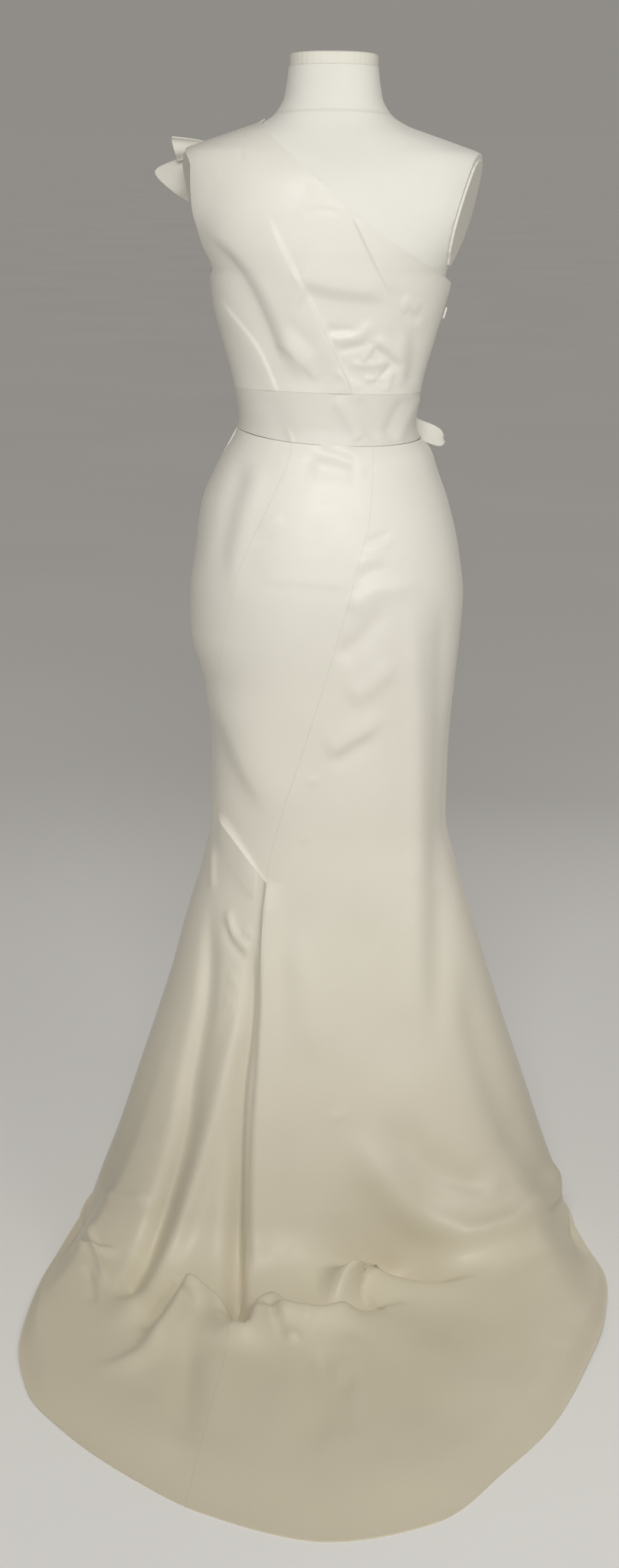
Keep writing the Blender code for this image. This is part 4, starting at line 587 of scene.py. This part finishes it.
def floor_finish(name):
    """Plain pale studio floor that also glows faintly in its own colour, which is painted light."""
    material, shader, add, join = node_kit(name)
    place = add("TexCoord")
    tone = add("TexNoise", Scale=0.8, Detail=2.0)
    join(place.outputs["Object"], tone.inputs["Vector"])
    shades = ramp(add, [(0.3, (0.80, 0.795, 0.78)), (0.7, (0.83, 0.825, 0.81))])
    join(tone.outputs["Fac"], shades.inputs["Fac"])
    join(shades.outputs["Color"], shader.inputs["Base Color"])
    # the faint glow of the floor's own colour is painted light
    join(shades.outputs["Color"], shader.inputs["Emission Color"])
    shader.inputs["Emission Strength"].default_value = 0.06
    shader.inputs["Roughness"].default_value = 0.9
    return material


# Shapes of the form and of the cloth on it

def body_radius(angle, height):
    """Distance from the pole to the form's face."""
    c, s = np.cos(angle), np.sin(angle)
    deep = np.where(s < 0, FORM["back"](height), FORM["front"](height))
    return (np.abs(c / FORM["half_width"](height)) ** SQUARE + np.abs(s / deep) ** SQUARE) ** (-1 / SQUARE)


def body_point(angle, up):
    """Point of the form's face at a direction and a way up: height, and angle above RAY_CENTRE."""
    angle, up = np.broadcast_arrays(np.asarray(angle, float), np.asarray(up, float))
    lean = np.maximum(0.0, (up - RAY_CENTRE) / RAY_SCALE)
    height = np.minimum(up, RAY_CENTRE)
    near, far = np.zeros(up.shape), np.full(up.shape, 0.5)
    for _ in range(26):
        middle = (near + far) / 2
        inside = middle * np.cos(lean) < body_radius(angle, height + middle * np.sin(lean))
        near, far = np.where(inside, middle, near), np.where(inside, far, middle)
    level = near * np.cos(lean)
    return np.stack([np.cos(angle) * level, np.sin(angle) * level, height + near * np.sin(lean)], axis=-1)


def unit(vectors):
    return vectors / np.linalg.norm(vectors, axis=-1, keepdims=True)


def body_normal(angle, up, step=0.008):
    """Outward direction of the form there, evened out over a small patch."""
    turn = step / BODY_ROUND
    across = body_point(angle + turn, up) - body_point(angle - turn, up)
    rise = body_point(angle, up + step) - body_point(angle, up - step)
    return unit(np.cross(across, rise))


def lay_out(point):
    """Direction and way up of a point on the form."""
    x, y, z = point
    if z < RAY_CENTRE:
        return math.atan2(y, x), z
    return math.atan2(y, x), RAY_CENTRE + RAY_SCALE * math.atan2(z - RAY_CENTRE, math.hypot(x, y))


def on_side(sign, x, z):
    """Layout of the point of the form's back (-1) or front (1) at x and z."""
    deep = float(FORM["back" if sign < 0 else "front"](z))
    share = max(0.0, 1 - abs(x / float(FORM["half_width"](z))) ** SQUARE)
    return lay_out((x, sign * deep * share ** (1 / SQUARE), z))


def form_rim(angle, height):
    """Point of the form's level section by the angle of its own outline."""
    c, s = np.cos(angle), np.sin(angle)
    deep = np.where(s < 0, FORM["back"](height), FORM["front"](height))
    x = FORM["half_width"](height) * np.sign(c) * np.abs(c) ** (2 / SQUARE)
    y = deep * np.sign(s) * np.abs(s) ** (2 / SQUARE)
    return np.stack(np.broadcast_arrays(x, y, height), axis=-1)


def spread(points, count):
    """A smooth run of points through a short list of directions and heights, evenly spaced by length."""
    points = np.asarray(points, float)
    length = np.concatenate([[0], np.cumsum(np.hypot(*np.diff(points * (CHEST_ROUND, 1), axis=0).T))])
    at = length[-1] * np.linspace(0, 1, count)
    return np.stack([monotone(length, points[:, k])(at) for k in (0, 1)], axis=-1)


def coons(low, high, left, right):
    """Grid between four edge runs: low and high go from left to right, left and right go up."""
    u = np.linspace(0, 1, len(low))[None, :, None]
    v = np.linspace(0, 1, len(left))[:, None, None]
    ruled = (1 - v) * low[None] + v * high[None] + (1 - u) * left[:, None] + u * right[:, None]
    corners = ((1 - u) * (1 - v) * low[0] + u * (1 - v) * low[-1]
               + (1 - u) * v * high[0] + u * v * high[-1])
    return ruled - corners


def band_height(across, deep, edge, tilt, dip=0.0):
    """Height of one edge of the waistband at a place given as shares of the section's half sizes."""
    return edge + tilt * BAND_HALF * across - dip * np.clip(-deep, 0, 1) ** 2


def band_run(angles, edge, tilt, dip=0.0):
    """Height of one edge of the waistband in directions round the form."""
    points = body_point(angles, np.full(len(angles), edge))
    across = points[:, 0] / FORM["half_width"](edge)
    deep = points[:, 1] / np.where(points[:, 1] < 0, FORM["back"](edge), FORM["front"](edge))
    return band_height(across, deep, edge, tilt, dip)


def fold_lift(x, t, folds):
    """How far the folds of a table move the cloth out at each place."""
    lift = np.zeros(x.shape)
    for high0, high1, right0, right1, left0, left1, come_in, die_out, path in folds:
        path = np.asarray(path, float)
        run = np.concatenate([[0], np.cumsum(np.hypot(*np.diff(path, axis=0).T))])
        share = np.linspace(0, 1, PATH_STEPS * (len(path) - 1) + 1)
        line = np.stack([monotone(run / run[-1], path[:, k])(share) for k in (0, 1)], axis=-1)
        forward = unit(np.gradient(line, axis=0))
        reach = FOLD_REACH * max(right0, right1, left0, left1)
        near = ((x > line[:, 0].min() - reach) & (x < line[:, 0].max() + reach)
                & (t > line[:, 1].min() - reach) & (t < line[:, 1].max() + reach))
        spot = np.stack([x[near], t[near]], axis=-1)
        if not len(spot):
            continue
        nearest = np.argmin(((spot[:, None] - line[None]) ** 2).sum(axis=-1), axis=1)
        step, way = spot - line[nearest], forward[nearest]
        along = np.clip(share[nearest] + (step * way).sum(axis=-1) / run[-1], 0, 1)
        beside = step[:, 1] * way[:, 0] - step[:, 0] * way[:, 1]
        right, left = right0 + (right1 - right0) * along, left0 + (left1 - left0) * along
        width = np.where(beside > 0, right, left) / 1000
        fade = np.ones(len(spot))
        if come_in:
            fade = fade * smoothstep(0, come_in, along)
        if die_out:
            fade = fade * (1 - smoothstep(1 - die_out, 1, along))
        lift[near] += (high0 + (high1 - high0) * along) / 1000 * np.exp(-(beside / width) ** 2) * fade
    return lift


def stand_off(layout):
    """How far the cloth stands off the form beyond its plain clearance."""
    angle, up = layout[..., 0], layout[..., 1]
    underarm = np.exp(-(angle / UNDERARM_WIDE) ** 2 - ((up - UNDERARM) / UNDERARM_TALL) ** 2)
    left = np.exp(-((np.abs(angle) - math.pi) / LEFT_WIDE) ** 2) * (1 - smoothstep(LEFT_LOW, LEFT_HIGH, up))
    return UNDERARM_STAND * underarm + LEFT_STAND * left


def from_side(angle):
    """Turn between a direction and the nearest side seam."""
    return math.pi / 2 - np.abs(np.abs(angle) - math.pi / 2)


def drape(layout, above, folds=()):
    """Outer face of a piece that lies on the form, from its layout grid."""
    base = body_point(layout[..., 0], layout[..., 1])
    normal = body_normal(layout[..., 0], layout[..., 1])
    side = smoothstep(0.0, BODICE_FADE, from_side(layout[..., 0]))
    lift = above + WALL + stand_off(layout) + side * fold_lift(base[..., 0], base[..., 2], folds)
    return base + normal * lift[..., None]


def metres(points):
    """Lengths across and along a grid of points, for the weave."""
    across = np.linalg.norm(np.diff(points, axis=1), axis=-1)
    along = np.linalg.norm(np.diff(points, axis=0), axis=-1)
    u = np.concatenate([np.zeros((len(points), 1)), np.cumsum(across, axis=1)], axis=1)
    v = np.concatenate([np.zeros((1, points.shape[1])), np.cumsum(along, axis=0)], axis=0)
    return np.stack([u - u[:, -1:] / 2, v], axis=-1)


def cloth(name, points, material, flip=False, wall=WALL, offset=-1.0):
    """A panel of cloth: a grid whose points are set on its outer face, with a wall behind it."""
    rows, cols = points.shape[:2]
    mesh = bmesh.new()
    bmesh.ops.create_grid(mesh, x_segments=cols - 1, y_segments=rows - 1, size=1)
    if flip:
        bmesh.ops.reverse_faces(mesh, faces=mesh.faces)
    for edge in mesh.edges:
        edge.smooth = not edge.is_boundary
    data = bpy.data.meshes.new(name + "_cloth")
    mesh.to_mesh(data)
    mesh.free()
    data.vertices.foreach_set("co", points.astype(np.float32).ravel())
    corner = np.zeros(len(data.loops), np.int32)
    data.loops.foreach_get("vertex_index", corner)
    weave = data.uv_layers.new(name="weave")
    weave.uv.foreach_set("vector", metres(points).reshape(-1, 2)[corner].astype(np.float32).ravel())
    data.shade_smooth()
    data.materials.append(material)
    piece = bpy.data.objects.new(name + "_cloth", data)
    bpy.context.scene.collection.objects.link(piece)
    solid = piece.modifiers.new("wall", "SOLIDIFY")
    solid.thickness, solid.offset = wall, offset
    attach(piece, "root")
    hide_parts(name)
    return piece


# The gown on the body

def bodice(name, sign, neckline, folds, cols, rows, material):
    """Half of the bodice: sign -1 is the back, 1 the front."""
    turn = SEAM_GAP / 2 / BAND_HALF
    seam_left, seam_right = sign * (math.pi - turn), sign * turn
    low_angles = np.linspace(seam_left, seam_right, cols)
    low = np.stack([low_angles, band_run(low_angles, WAIST_TOP, BAND_TILT_TOP) + SEAM_GAP / 2], axis=-1)
    shoulder = round((cols - 1) * SHOULDER_SHARE)
    tip_up = lay_out(form_rim(math.pi, SHOULDER_TIP))[1]
    neck_up = lay_out((NECK_POINT[0], 0, NECK_POINT[1]))[1]
    seam = spread([(seam_left, tip_up), (seam_left, neck_up)], shoulder + 1)
    top_right = (seam_right, UNDERARM)
    edge = spread([(seam_left, neck_up), *[on_side(sign, x, z) for x, z in neckline], top_right],
                  cols - shoulder)
    high = np.concatenate([seam, edge[1:]])
    armhole = [on_side(sign, x, z) for x, z in (ARMHOLE_BACK if sign < 0 else ARMHOLE_FRONT)]
    left = spread([tuple(low[0]), (seam_left, SIDE_HEIGHT), (seam_left, UNDERARM), *armhole, tuple(seam[0])],
                  rows)
    right = spread([tuple(low[-1]), top_right], rows)
    layout = coons(low, high, left, right)
    return cloth(name, drape(layout, CLEAR, folds), material, flip=sign > 0)


def waistband(name, sign, folds, cols, rows, material):
    """Half of the waistband, between the bodice and the skirt."""
    turn = SEAM_GAP / 2 / BAND_HALF
    angles = np.linspace(sign * (math.pi - turn), sign * turn, cols)
    low = band_run(angles, WAIST_LOW, BAND_TILT_LOW, BAND_DIP) + SEAM_GAP / 2
    high = band_run(angles, WAIST_TOP, BAND_TILT_TOP) - SEAM_GAP / 2
    share = np.linspace(0, 1, rows)[:, None]
    up = low * (1 - share) + high * share
    layout = np.stack([np.broadcast_to(angles, up.shape), up], axis=-1)
    return cloth(name, drape(layout, CLEAR, folds), material, flip=sign > 0)


# The skirt

def skirt_section(angle, height):
    """Point of the skirt's plain section, as x and y."""
    c, s = np.cos(angle), np.sin(angle)
    wide = np.where(c < 0, SKIRT["left"](height), SKIRT["right"](height))
    deep = np.where(s < 0, SKIRT["back"](height), SKIRT["front"](height))
    x = wide * np.sign(c) * np.abs(c) ** (2 / SQUARE)
    y = deep * np.sign(s) * np.abs(s) ** (2 / SQUARE)
    return x, y


def skirt_angle(x, height):
    """Direction in which the back of the skirt's section has a given x."""
    wide = np.where(x < 0, SKIRT["left"](height), SKIRT["right"](height))
    c = np.sign(x) * np.abs(np.clip(x / wide, -1, 1)) ** (SQUARE / 2)
    return -np.arccos(c)


def hem_point(angle):
    """Point of the hem on the floor."""
    x, y = skirt_section(angle, 0.0)
    degrees = np.degrees(angle)
    back = degrees <= 0
    return (np.where(back, HEM["hem_x"](degrees), x * HEM_FRONT),
            np.where(back, HEM["hem_y"](degrees), y * HEM_FRONT))


def skirt_base(angle, way):
    """Plain surface of the skirt: way 0 to 1 hangs from the waist, 1 to 2 lies on the floor."""
    height = SKIRT_TOP * (1 - np.clip(way, 0, 1))
    lie = np.clip(way - 1, 0, 1)
    x, y = skirt_section(angle, height)
    foot_x, foot_y = skirt_section(angle, 0.0)
    hem_x, hem_y = hem_point(angle)
    reach = np.hypot(hem_x - foot_x, hem_y - foot_y)
    lip = np.exp(-((x - LIP_X) / LIP_HALF) ** 2)
    soft = (ELBOW + (ELBOW_LIP - ELBOW) * lip) * smoothstep(FOOT_NEAR, FOOT_FAR, reach) + LEAST_ELBOW
    past = (reach * lie - height) / soft
    out = soft * np.logaddexp(0, past) / reach
    x, y = x + (hem_x - foot_x) * out, y + (hem_y - foot_y) * out
    air = (smoothstep(AIR_NEAR, AIR_FAR, reach) * smoothstep(0.0, AIR_IN, lie)
           * (1 - smoothstep(AIR_OUT, 1.0, lie)))
    z = WALL + soft * np.logaddexp(0, -past) + TRAIN_AIR * air
    return np.stack(np.broadcast_arrays(x, y, z), axis=-1)


def surface_normal(surface, angle, way, step=1e-3):
    """Outward normal of a surface given by direction and way down."""
    way = np.clip(way, step, 2 - step)
    across = surface(angle + step, way) - surface(angle - step, way)
    down = surface(angle, way + step) - surface(angle, way - step)
    return unit(np.cross(down, across))


def flute_lift(angle, way):
    """How far the front's flutes move the hanging skirt out along its normal."""
    hang = np.clip(way, 0, 1)
    height = SKIRT_TOP * (1 - hang)
    radius = np.hypot(*skirt_section(angle, height))
    lift = np.zeros(np.broadcast(angle, way).shape)
    for top_deg, floor_deg, top, narrow, broad, depth in FLUTES:
        run = np.clip((top - height) / top, 0, 1)
        centre = np.radians(top_deg + (floor_deg - top_deg) * run)
        half = narrow + (broad - narrow) * run
        bell = np.exp(-((angle - centre) * radius / half) ** 2)
        fade = 1 - smoothstep(0.97, 1.0 if depth < 0 else 1.35, way)
        lift = lift + depth * smoothstep(0, 1, run) * bell * fade
    return lift


def skirt_drop(angle, way):
    """Height of the hanging cloth above the floor, or minus how far out it lies on it."""
    x, y = skirt_section(angle, 0.0)
    hem_x, hem_y = hem_point(angle)
    return SKIRT_TOP * (1 - np.clip(way, 0, 1)) - np.hypot(hem_x - x, hem_y - y) * np.clip(way - 1, 0, 1)


def skirt_surface(angle, way):
    """Outer face of the skirt with its folds."""
    point = skirt_base(angle, way)
    normal = surface_normal(skirt_base, angle, way)
    side = smoothstep(0.0, SIDE_FADE, from_side(angle))
    hem = 1 - smoothstep(HEM_FADE, 2.0, way)
    back = fold_lift(point[..., 0], skirt_drop(angle, way), SKIRT_BACK_FOLDS) * side * hem
    lift = np.where(angle < 0, back, flute_lift(angle, way))
    point = point + normal * lift[..., None]
    return np.stack([point[..., 0], point[..., 1], np.maximum(point[..., 2], WALL)], axis=-1)


def seam_shift(angle, way, step=1e-3):
    """Turn about the pole that moves a point half a seam gap along the skirt."""
    side = skirt_base(angle + step, way) - skirt_base(angle - step, way)
    return SEAM_GAP / 2 / (np.linalg.norm(side, axis=-1) / (2 * step))


def height_way(height):
    """Way down at which the skirt's plain face is at a height."""
    return 1 - np.maximum(height - WALL, 0.0) / SKIRT_TOP


def waist_way(angle):
    """Where the skirt's top edge is: close under the edge of the waistband."""
    x, y = skirt_section(angle, WAIST_LOW)
    around = np.arctan2(y, x)
    edge = band_run(around, WAIST_LOW, BAND_TILT_LOW, BAND_DIP)
    return height_way(drape(np.stack([around, edge], axis=-1), CLEAR)[..., 2] - SEAM_GAP)


def seam_angle(seam, way):
    """Direction of a skirt seam at a way down."""
    height = SKIRT_TOP * (1 - np.clip(way, 0, 1))
    return skirt_angle(seam["x"](height), height)


def left_seam(way):
    return seam_angle(SEAM_LEFT, way)


def back_seam(way):
    return seam_angle(SEAM_BACK, way)


def side_seam(degrees):
    return lambda way: np.full(np.shape(way), math.radians(degrees))


def godet_way(angle):
    """Way down of the godet's upper edge, which slants from the left side seam to the back seam."""
    x = skirt_section(angle, GODET_LEFT)[0]
    last = skirt_section(back_seam(height_way(GODET_RIGHT)), GODET_LEFT)[0]
    first = -SKIRT["left"](GODET_LEFT)
    return height_way(GODET_LEFT + (GODET_RIGHT - GODET_LEFT) * (x - first) / (last - first))


def edge_run(rule, left, right, cols, shift=0.0):
    """Way down of a panel's upper or lower edge at each of its columns."""
    share = np.linspace(0, 1, cols)
    way = np.full(cols, 0.3)
    for _ in range(12):
        way = rule(left(way) + (right(way) - left(way)) * share) + shift
    return way


def skirt_panel(name, left, right, ways, cols, material):
    """Panel between two edges, each a function of way; ways is a grid of way down, row by column."""
    ways = np.broadcast_to(ways, (ways.shape[0], cols))
    left_angle, right_angle = left(ways), right(ways)
    left_angle = left_angle + seam_shift(left_angle, ways)
    right_angle = right_angle - seam_shift(right_angle, ways)
    angle = left_angle + (right_angle - left_angle) * np.linspace(0, 1, cols)[None, :]
    outer = skirt_surface(angle, ways)
    middle = np.degrees(angle[0]).mean()
    for column, edge in ((0, left), (-1, right)):
        if abs(float(np.degrees(edge(1.0)))) in (0.0, 180.0):
            outer[:, column, 1] = math.copysign(SEAM_GAP / 2, middle)
    return cloth(name, outer, material, flip=True)


def rows_between(top, bottom, count):
    return top + (bottom - top) * np.linspace(0, 1, count)[:, None]


def finer(rows, times):
    """Rows with more between them, evenly."""
    rows = np.asarray(rows, float)
    return np.interp(np.linspace(0, len(rows) - 1, (len(rows) - 1) * times + 1), np.arange(len(rows)), rows)


# Rows of the lower skirt: heights of the hanging cloth, then shares of the way out to the hem
HANG_LOWER = finer([0.50, 0.455, 0.41, 0.36, 0.31, 0.26, 0.21, 0.16, 0.12, 0.085, 0.055, 0.03, 0.01, 0], 8)
LYING = finer([0, 0.06, 0.13, 0.21, 0.30, 0.42, 0.56, 0.72, 0.86, 1.0], 12)[1:]


def build_skirt(material):
    """The skirt's five panels; those that meet at the back seam share its rows."""
    pieces = {}
    gap = SEAM_GAP / 2 / SKIRT_TOP
    for name, left, right, cols in (("skirt_side_left", side_seam(-180), left_seam, 34),
                                    ("skirt_back_left", left_seam, back_seam, 64)):
        top = edge_run(waist_way, left, right, cols)
        bottom = edge_run(godet_way, left, right, cols, -gap)
        pieces[name] = skirt_panel(name, left, right, rows_between(top, bottom, 130), cols, material)
    cols = 110
    lower = np.array([1 - h / SKIRT_TOP for h in HANG_LOWER] + [1 + share for share in LYING])
    top = edge_run(godet_way, side_seam(-180), back_seam, cols, gap)
    fade = 1 - smoothstep(top[-1], 1.0, lower)
    ways = np.concatenate([top[None, :], lower[:, None] + (top - top[-1])[None, :] * fade[:, None]])
    pieces["skirt_godet"] = skirt_panel("skirt_godet", side_seam(-180), back_seam, ways, cols, material)
    cols = 140
    top = edge_run(waist_way, back_seam, side_seam(0), cols)
    upper = rows_between(top, np.full(cols, godet_way(back_seam(height_way(GODET_RIGHT)))), 130)
    ways = np.concatenate([upper, np.repeat(lower[:, None], cols, axis=1)])
    pieces["skirt_back"] = skirt_panel("skirt_back", back_seam, side_seam(0), ways, cols, material)
    cols = 170
    top = edge_run(waist_way, side_seam(0), side_seam(180), cols)
    rows = [1 - h / SKIRT_TOP for h in np.linspace(1.08, 0, 180)] + [1.3, 1.6, 1.8, 2.0]
    ways = np.concatenate([top[None, :], np.repeat(np.array(rows)[:, None], cols, axis=1)])
    pieces["skirt_front"] = skirt_panel("skirt_front", side_seam(0), side_seam(180), ways, cols, material)
    return pieces


def ruffle_flap(name, rows, bulge, wave, material):
    """A flap of the shoulder ruffle, from its root on the strap's front out to its free edge."""
    table = columns("share root_x root_z tip_x tip_y tip_z", rows)
    across, out = 60, 40
    grid = np.zeros((across, out, 3))
    above = CLEAR + WALL + SEAM_GAP + RUFFLE_WALL / 2 + ROOT_SPARE
    for i, share in enumerate(np.linspace(0, 1, across)):
        layout = on_side(1, float(table["root_x"](share)), float(table["root_z"](share)))
        normal = body_normal(*layout)
        root = body_point(*layout) + normal * above
        tip = np.array([float(table[key](share)) for key in ("tip_x", "tip_y", "tip_z")])
        reach = np.linspace(0, 1, out)[:, None]
        lift = bulge * np.sin(math.pi * reach ** 0.6) + wave * reach * math.sin(2.5 * math.pi * share)
        grid[i] = root + (tip - root) * reach + normal * lift
    return cloth(name, grid, material, wall=RUFFLE_WALL, offset=0.0)


def waist_loop(material):
    """Round-ended loop of cloth that stands out at the right of the waist."""
    places = np.linspace(-1, 1, 20)
    above = CLEAR + WALL + SEAM_GAP + RUFFLE_WALL / 2 + LOOP_SPARE
    up = LOOP_HEIGHT + places * LOOP_TALL / 2
    around = np.full(len(places), math.radians(LOOP_FROM))
    roots = body_point(around, up) + body_normal(around, up) * above
    out = np.array([math.cos(math.radians(LOOP_TURN)), math.sin(math.radians(LOOP_TURN)), 0])
    side = np.array([-out[1], out[0], 0])
    turn = math.pi * np.linspace(0, 1, 90)[:, None, None]
    along = LOOP_LENGTH * np.abs(np.sin(turn)) ** LOOP_ROUND
    across = LOOP_THICK * (1 - np.cos(turn)) / 2 * (1 + LOOP_BELLY * np.sin(turn))
    narrower = LOOP_TALL / 2 * LOOP_TAPER * np.sin(turn) ** LOOP_TIP
    drop = -places[None, :, None] * narrower - LOOP_SAG * np.abs(np.sin(turn)) ** LOOP_FALL
    grid = roots[None] + out * along + side * across + np.array([0, 0, 1]) * drop
    return cloth("waist_loop", grid, material, wall=RUFFLE_WALL, offset=0.0)


def side_tab(material):
    """Tiny tab of cloth at the right underarm, on the seam of the bodice."""
    angles = np.radians(np.linspace(-TAB_WIDE / 2, TAB_WIDE / 2, 16) + TAB_AT)
    ups = np.linspace(TAB_LOW, TAB_HIGH, 20)
    layout = np.stack(np.meshgrid(angles, ups), axis=-1)
    return cloth("side_tab", drape(layout, CLEAR + 1.5 * WALL + SEAM_GAP + LOOP_SPARE), material)


def build_torso(material):
    """The form's body, cut flat at the armholes and the neck."""
    heights = np.concatenate([np.linspace(*run) for run in FORM_RINGS])
    around = 128
    mesh = bmesh.new()
    bmesh.ops.create_grid(mesh, x_segments=around, y_segments=len(heights) - 1, size=1)
    angle, height = np.meshgrid(np.linspace(-math.pi, math.pi, around + 1), heights)
    for vert, place in zip(mesh.verts, form_rim(angle, height).reshape(-1, 3)):
        vert.co = place
    bmesh.ops.remove_doubles(mesh, verts=mesh.verts, dist=1e-6)
    bmesh.ops.holes_fill(mesh, edges=[edge for edge in mesh.edges if edge.is_boundary], sides=0)
    bmesh.ops.recalc_face_normals(mesh, faces=mesh.faces)
    cuts = []
    for side in (1, -1):
        cuts.append(((side * ARM_X, 0, ARM_Z), Vector((side, -ARM_LEAN, -ARM_SLOPE)).normalized()))
    cuts.append(((0, 0, NECK_TOP), Vector((0, math.sin(NECK_LEAN), math.cos(NECK_LEAN)))))
    for point, normal in cuts:
        faces = [face for face in mesh.faces if face.calc_center_median().z > ARM_LOW]
        edges = {edge for face in faces for edge in face.edges}
        verts = {vert for face in faces for vert in face.verts}
        cut = bmesh.ops.bisect_plane(mesh, geom=[*verts, *edges, *faces], plane_co=point, plane_no=normal,
                                     clear_outer=True, dist=1e-6)
        rim = [item for item in cut["geom_cut"] if isinstance(item, bmesh.types.BMEdge)]
        bmesh.ops.contextual_create(mesh, geom=rim)
    bmesh.ops.recalc_face_normals(mesh, faces=mesh.faces)
    data = bpy.data.meshes.new("form_body")
    mesh.to_mesh(data)
    mesh.free()
    data.shade_smooth()
    data.set_sharp_from_angle(angle=math.radians(40))
    data.materials.append(material)
    piece = bpy.data.objects.new("form_body", data)
    bpy.context.scene.collection.objects.link(piece)
    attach(piece, "root")
    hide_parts("form_torso")
    return piece


def lay_floor():
    mesh = bmesh.new()
    bmesh.ops.create_grid(mesh, x_segments=1, y_segments=1, size=400)
    data = bpy.data.meshes.new("floor")
    mesh.to_mesh(data)
    mesh.free()
    data.materials.append(floor_finish("studio_floor"))
    floor = bpy.data.objects.new("floor", data)
    bpy.context.scene.collection.objects.link(floor)


# Painted parts of the form: node, colour, roughness
ENAMELS = [
    ("form_neck_cap", (0.80, 0.78, 0.70), 0.7),
    ("form_arm_plate_left", (0.78, 0.76, 0.70), 0.8),
    ("form_arm_plate_right", (0.78, 0.76, 0.70), 0.8),
    ("form_pole", (0.75, 0.74, 0.70), 0.3),
    ("form_base", (0.75, 0.74, 0.70), 0.4),
]

place_camera()
light_scene()
lay_floor()

satin = satin_finish("ivory_satin")
band_satin_painted_shade = satin_finish("ivory_satin_painted_darker", 0.91)       # a darker copy of the satin: painted shade for the lesser shine of satin cut across the grain
build_torso(cover_finish("form_cover"))
for node, colour, rough in ENAMELS:
    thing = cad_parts[node]
    thing.data.materials.clear()
    thing.data.materials.append(enamel_finish(node + "_enamel", colour, rough))

gown = {
    "bodice_back": bodice("bodice_back", -1, NECKLINE_BACK, BODICE_BACK_FOLDS, 200, 150, satin),
    "bodice_front": bodice("bodice_front", 1, NECKLINE_FRONT, BODICE_FRONT_FOLDS, 180, 130, satin),
    "waistband_back": waistband("waistband_back", -1, BAND_BACK_FOLDS, 150, 30, band_satin_painted_shade),
    "waistband_front": waistband("waistband_front", 1, BAND_FRONT_FOLDS, 120, 24, band_satin_painted_shade),
    "ruffle_upper": ruffle_flap("ruffle_upper", RUFFLE_UPPER, 0.006, 0.003, satin),
    "ruffle_lower": ruffle_flap("ruffle_lower", RUFFLE_LOWER, 0.009, 0.004, satin),
    "waist_loop": waist_loop(satin),
    "side_tab": side_tab(satin),
    **build_skirt(satin),
}
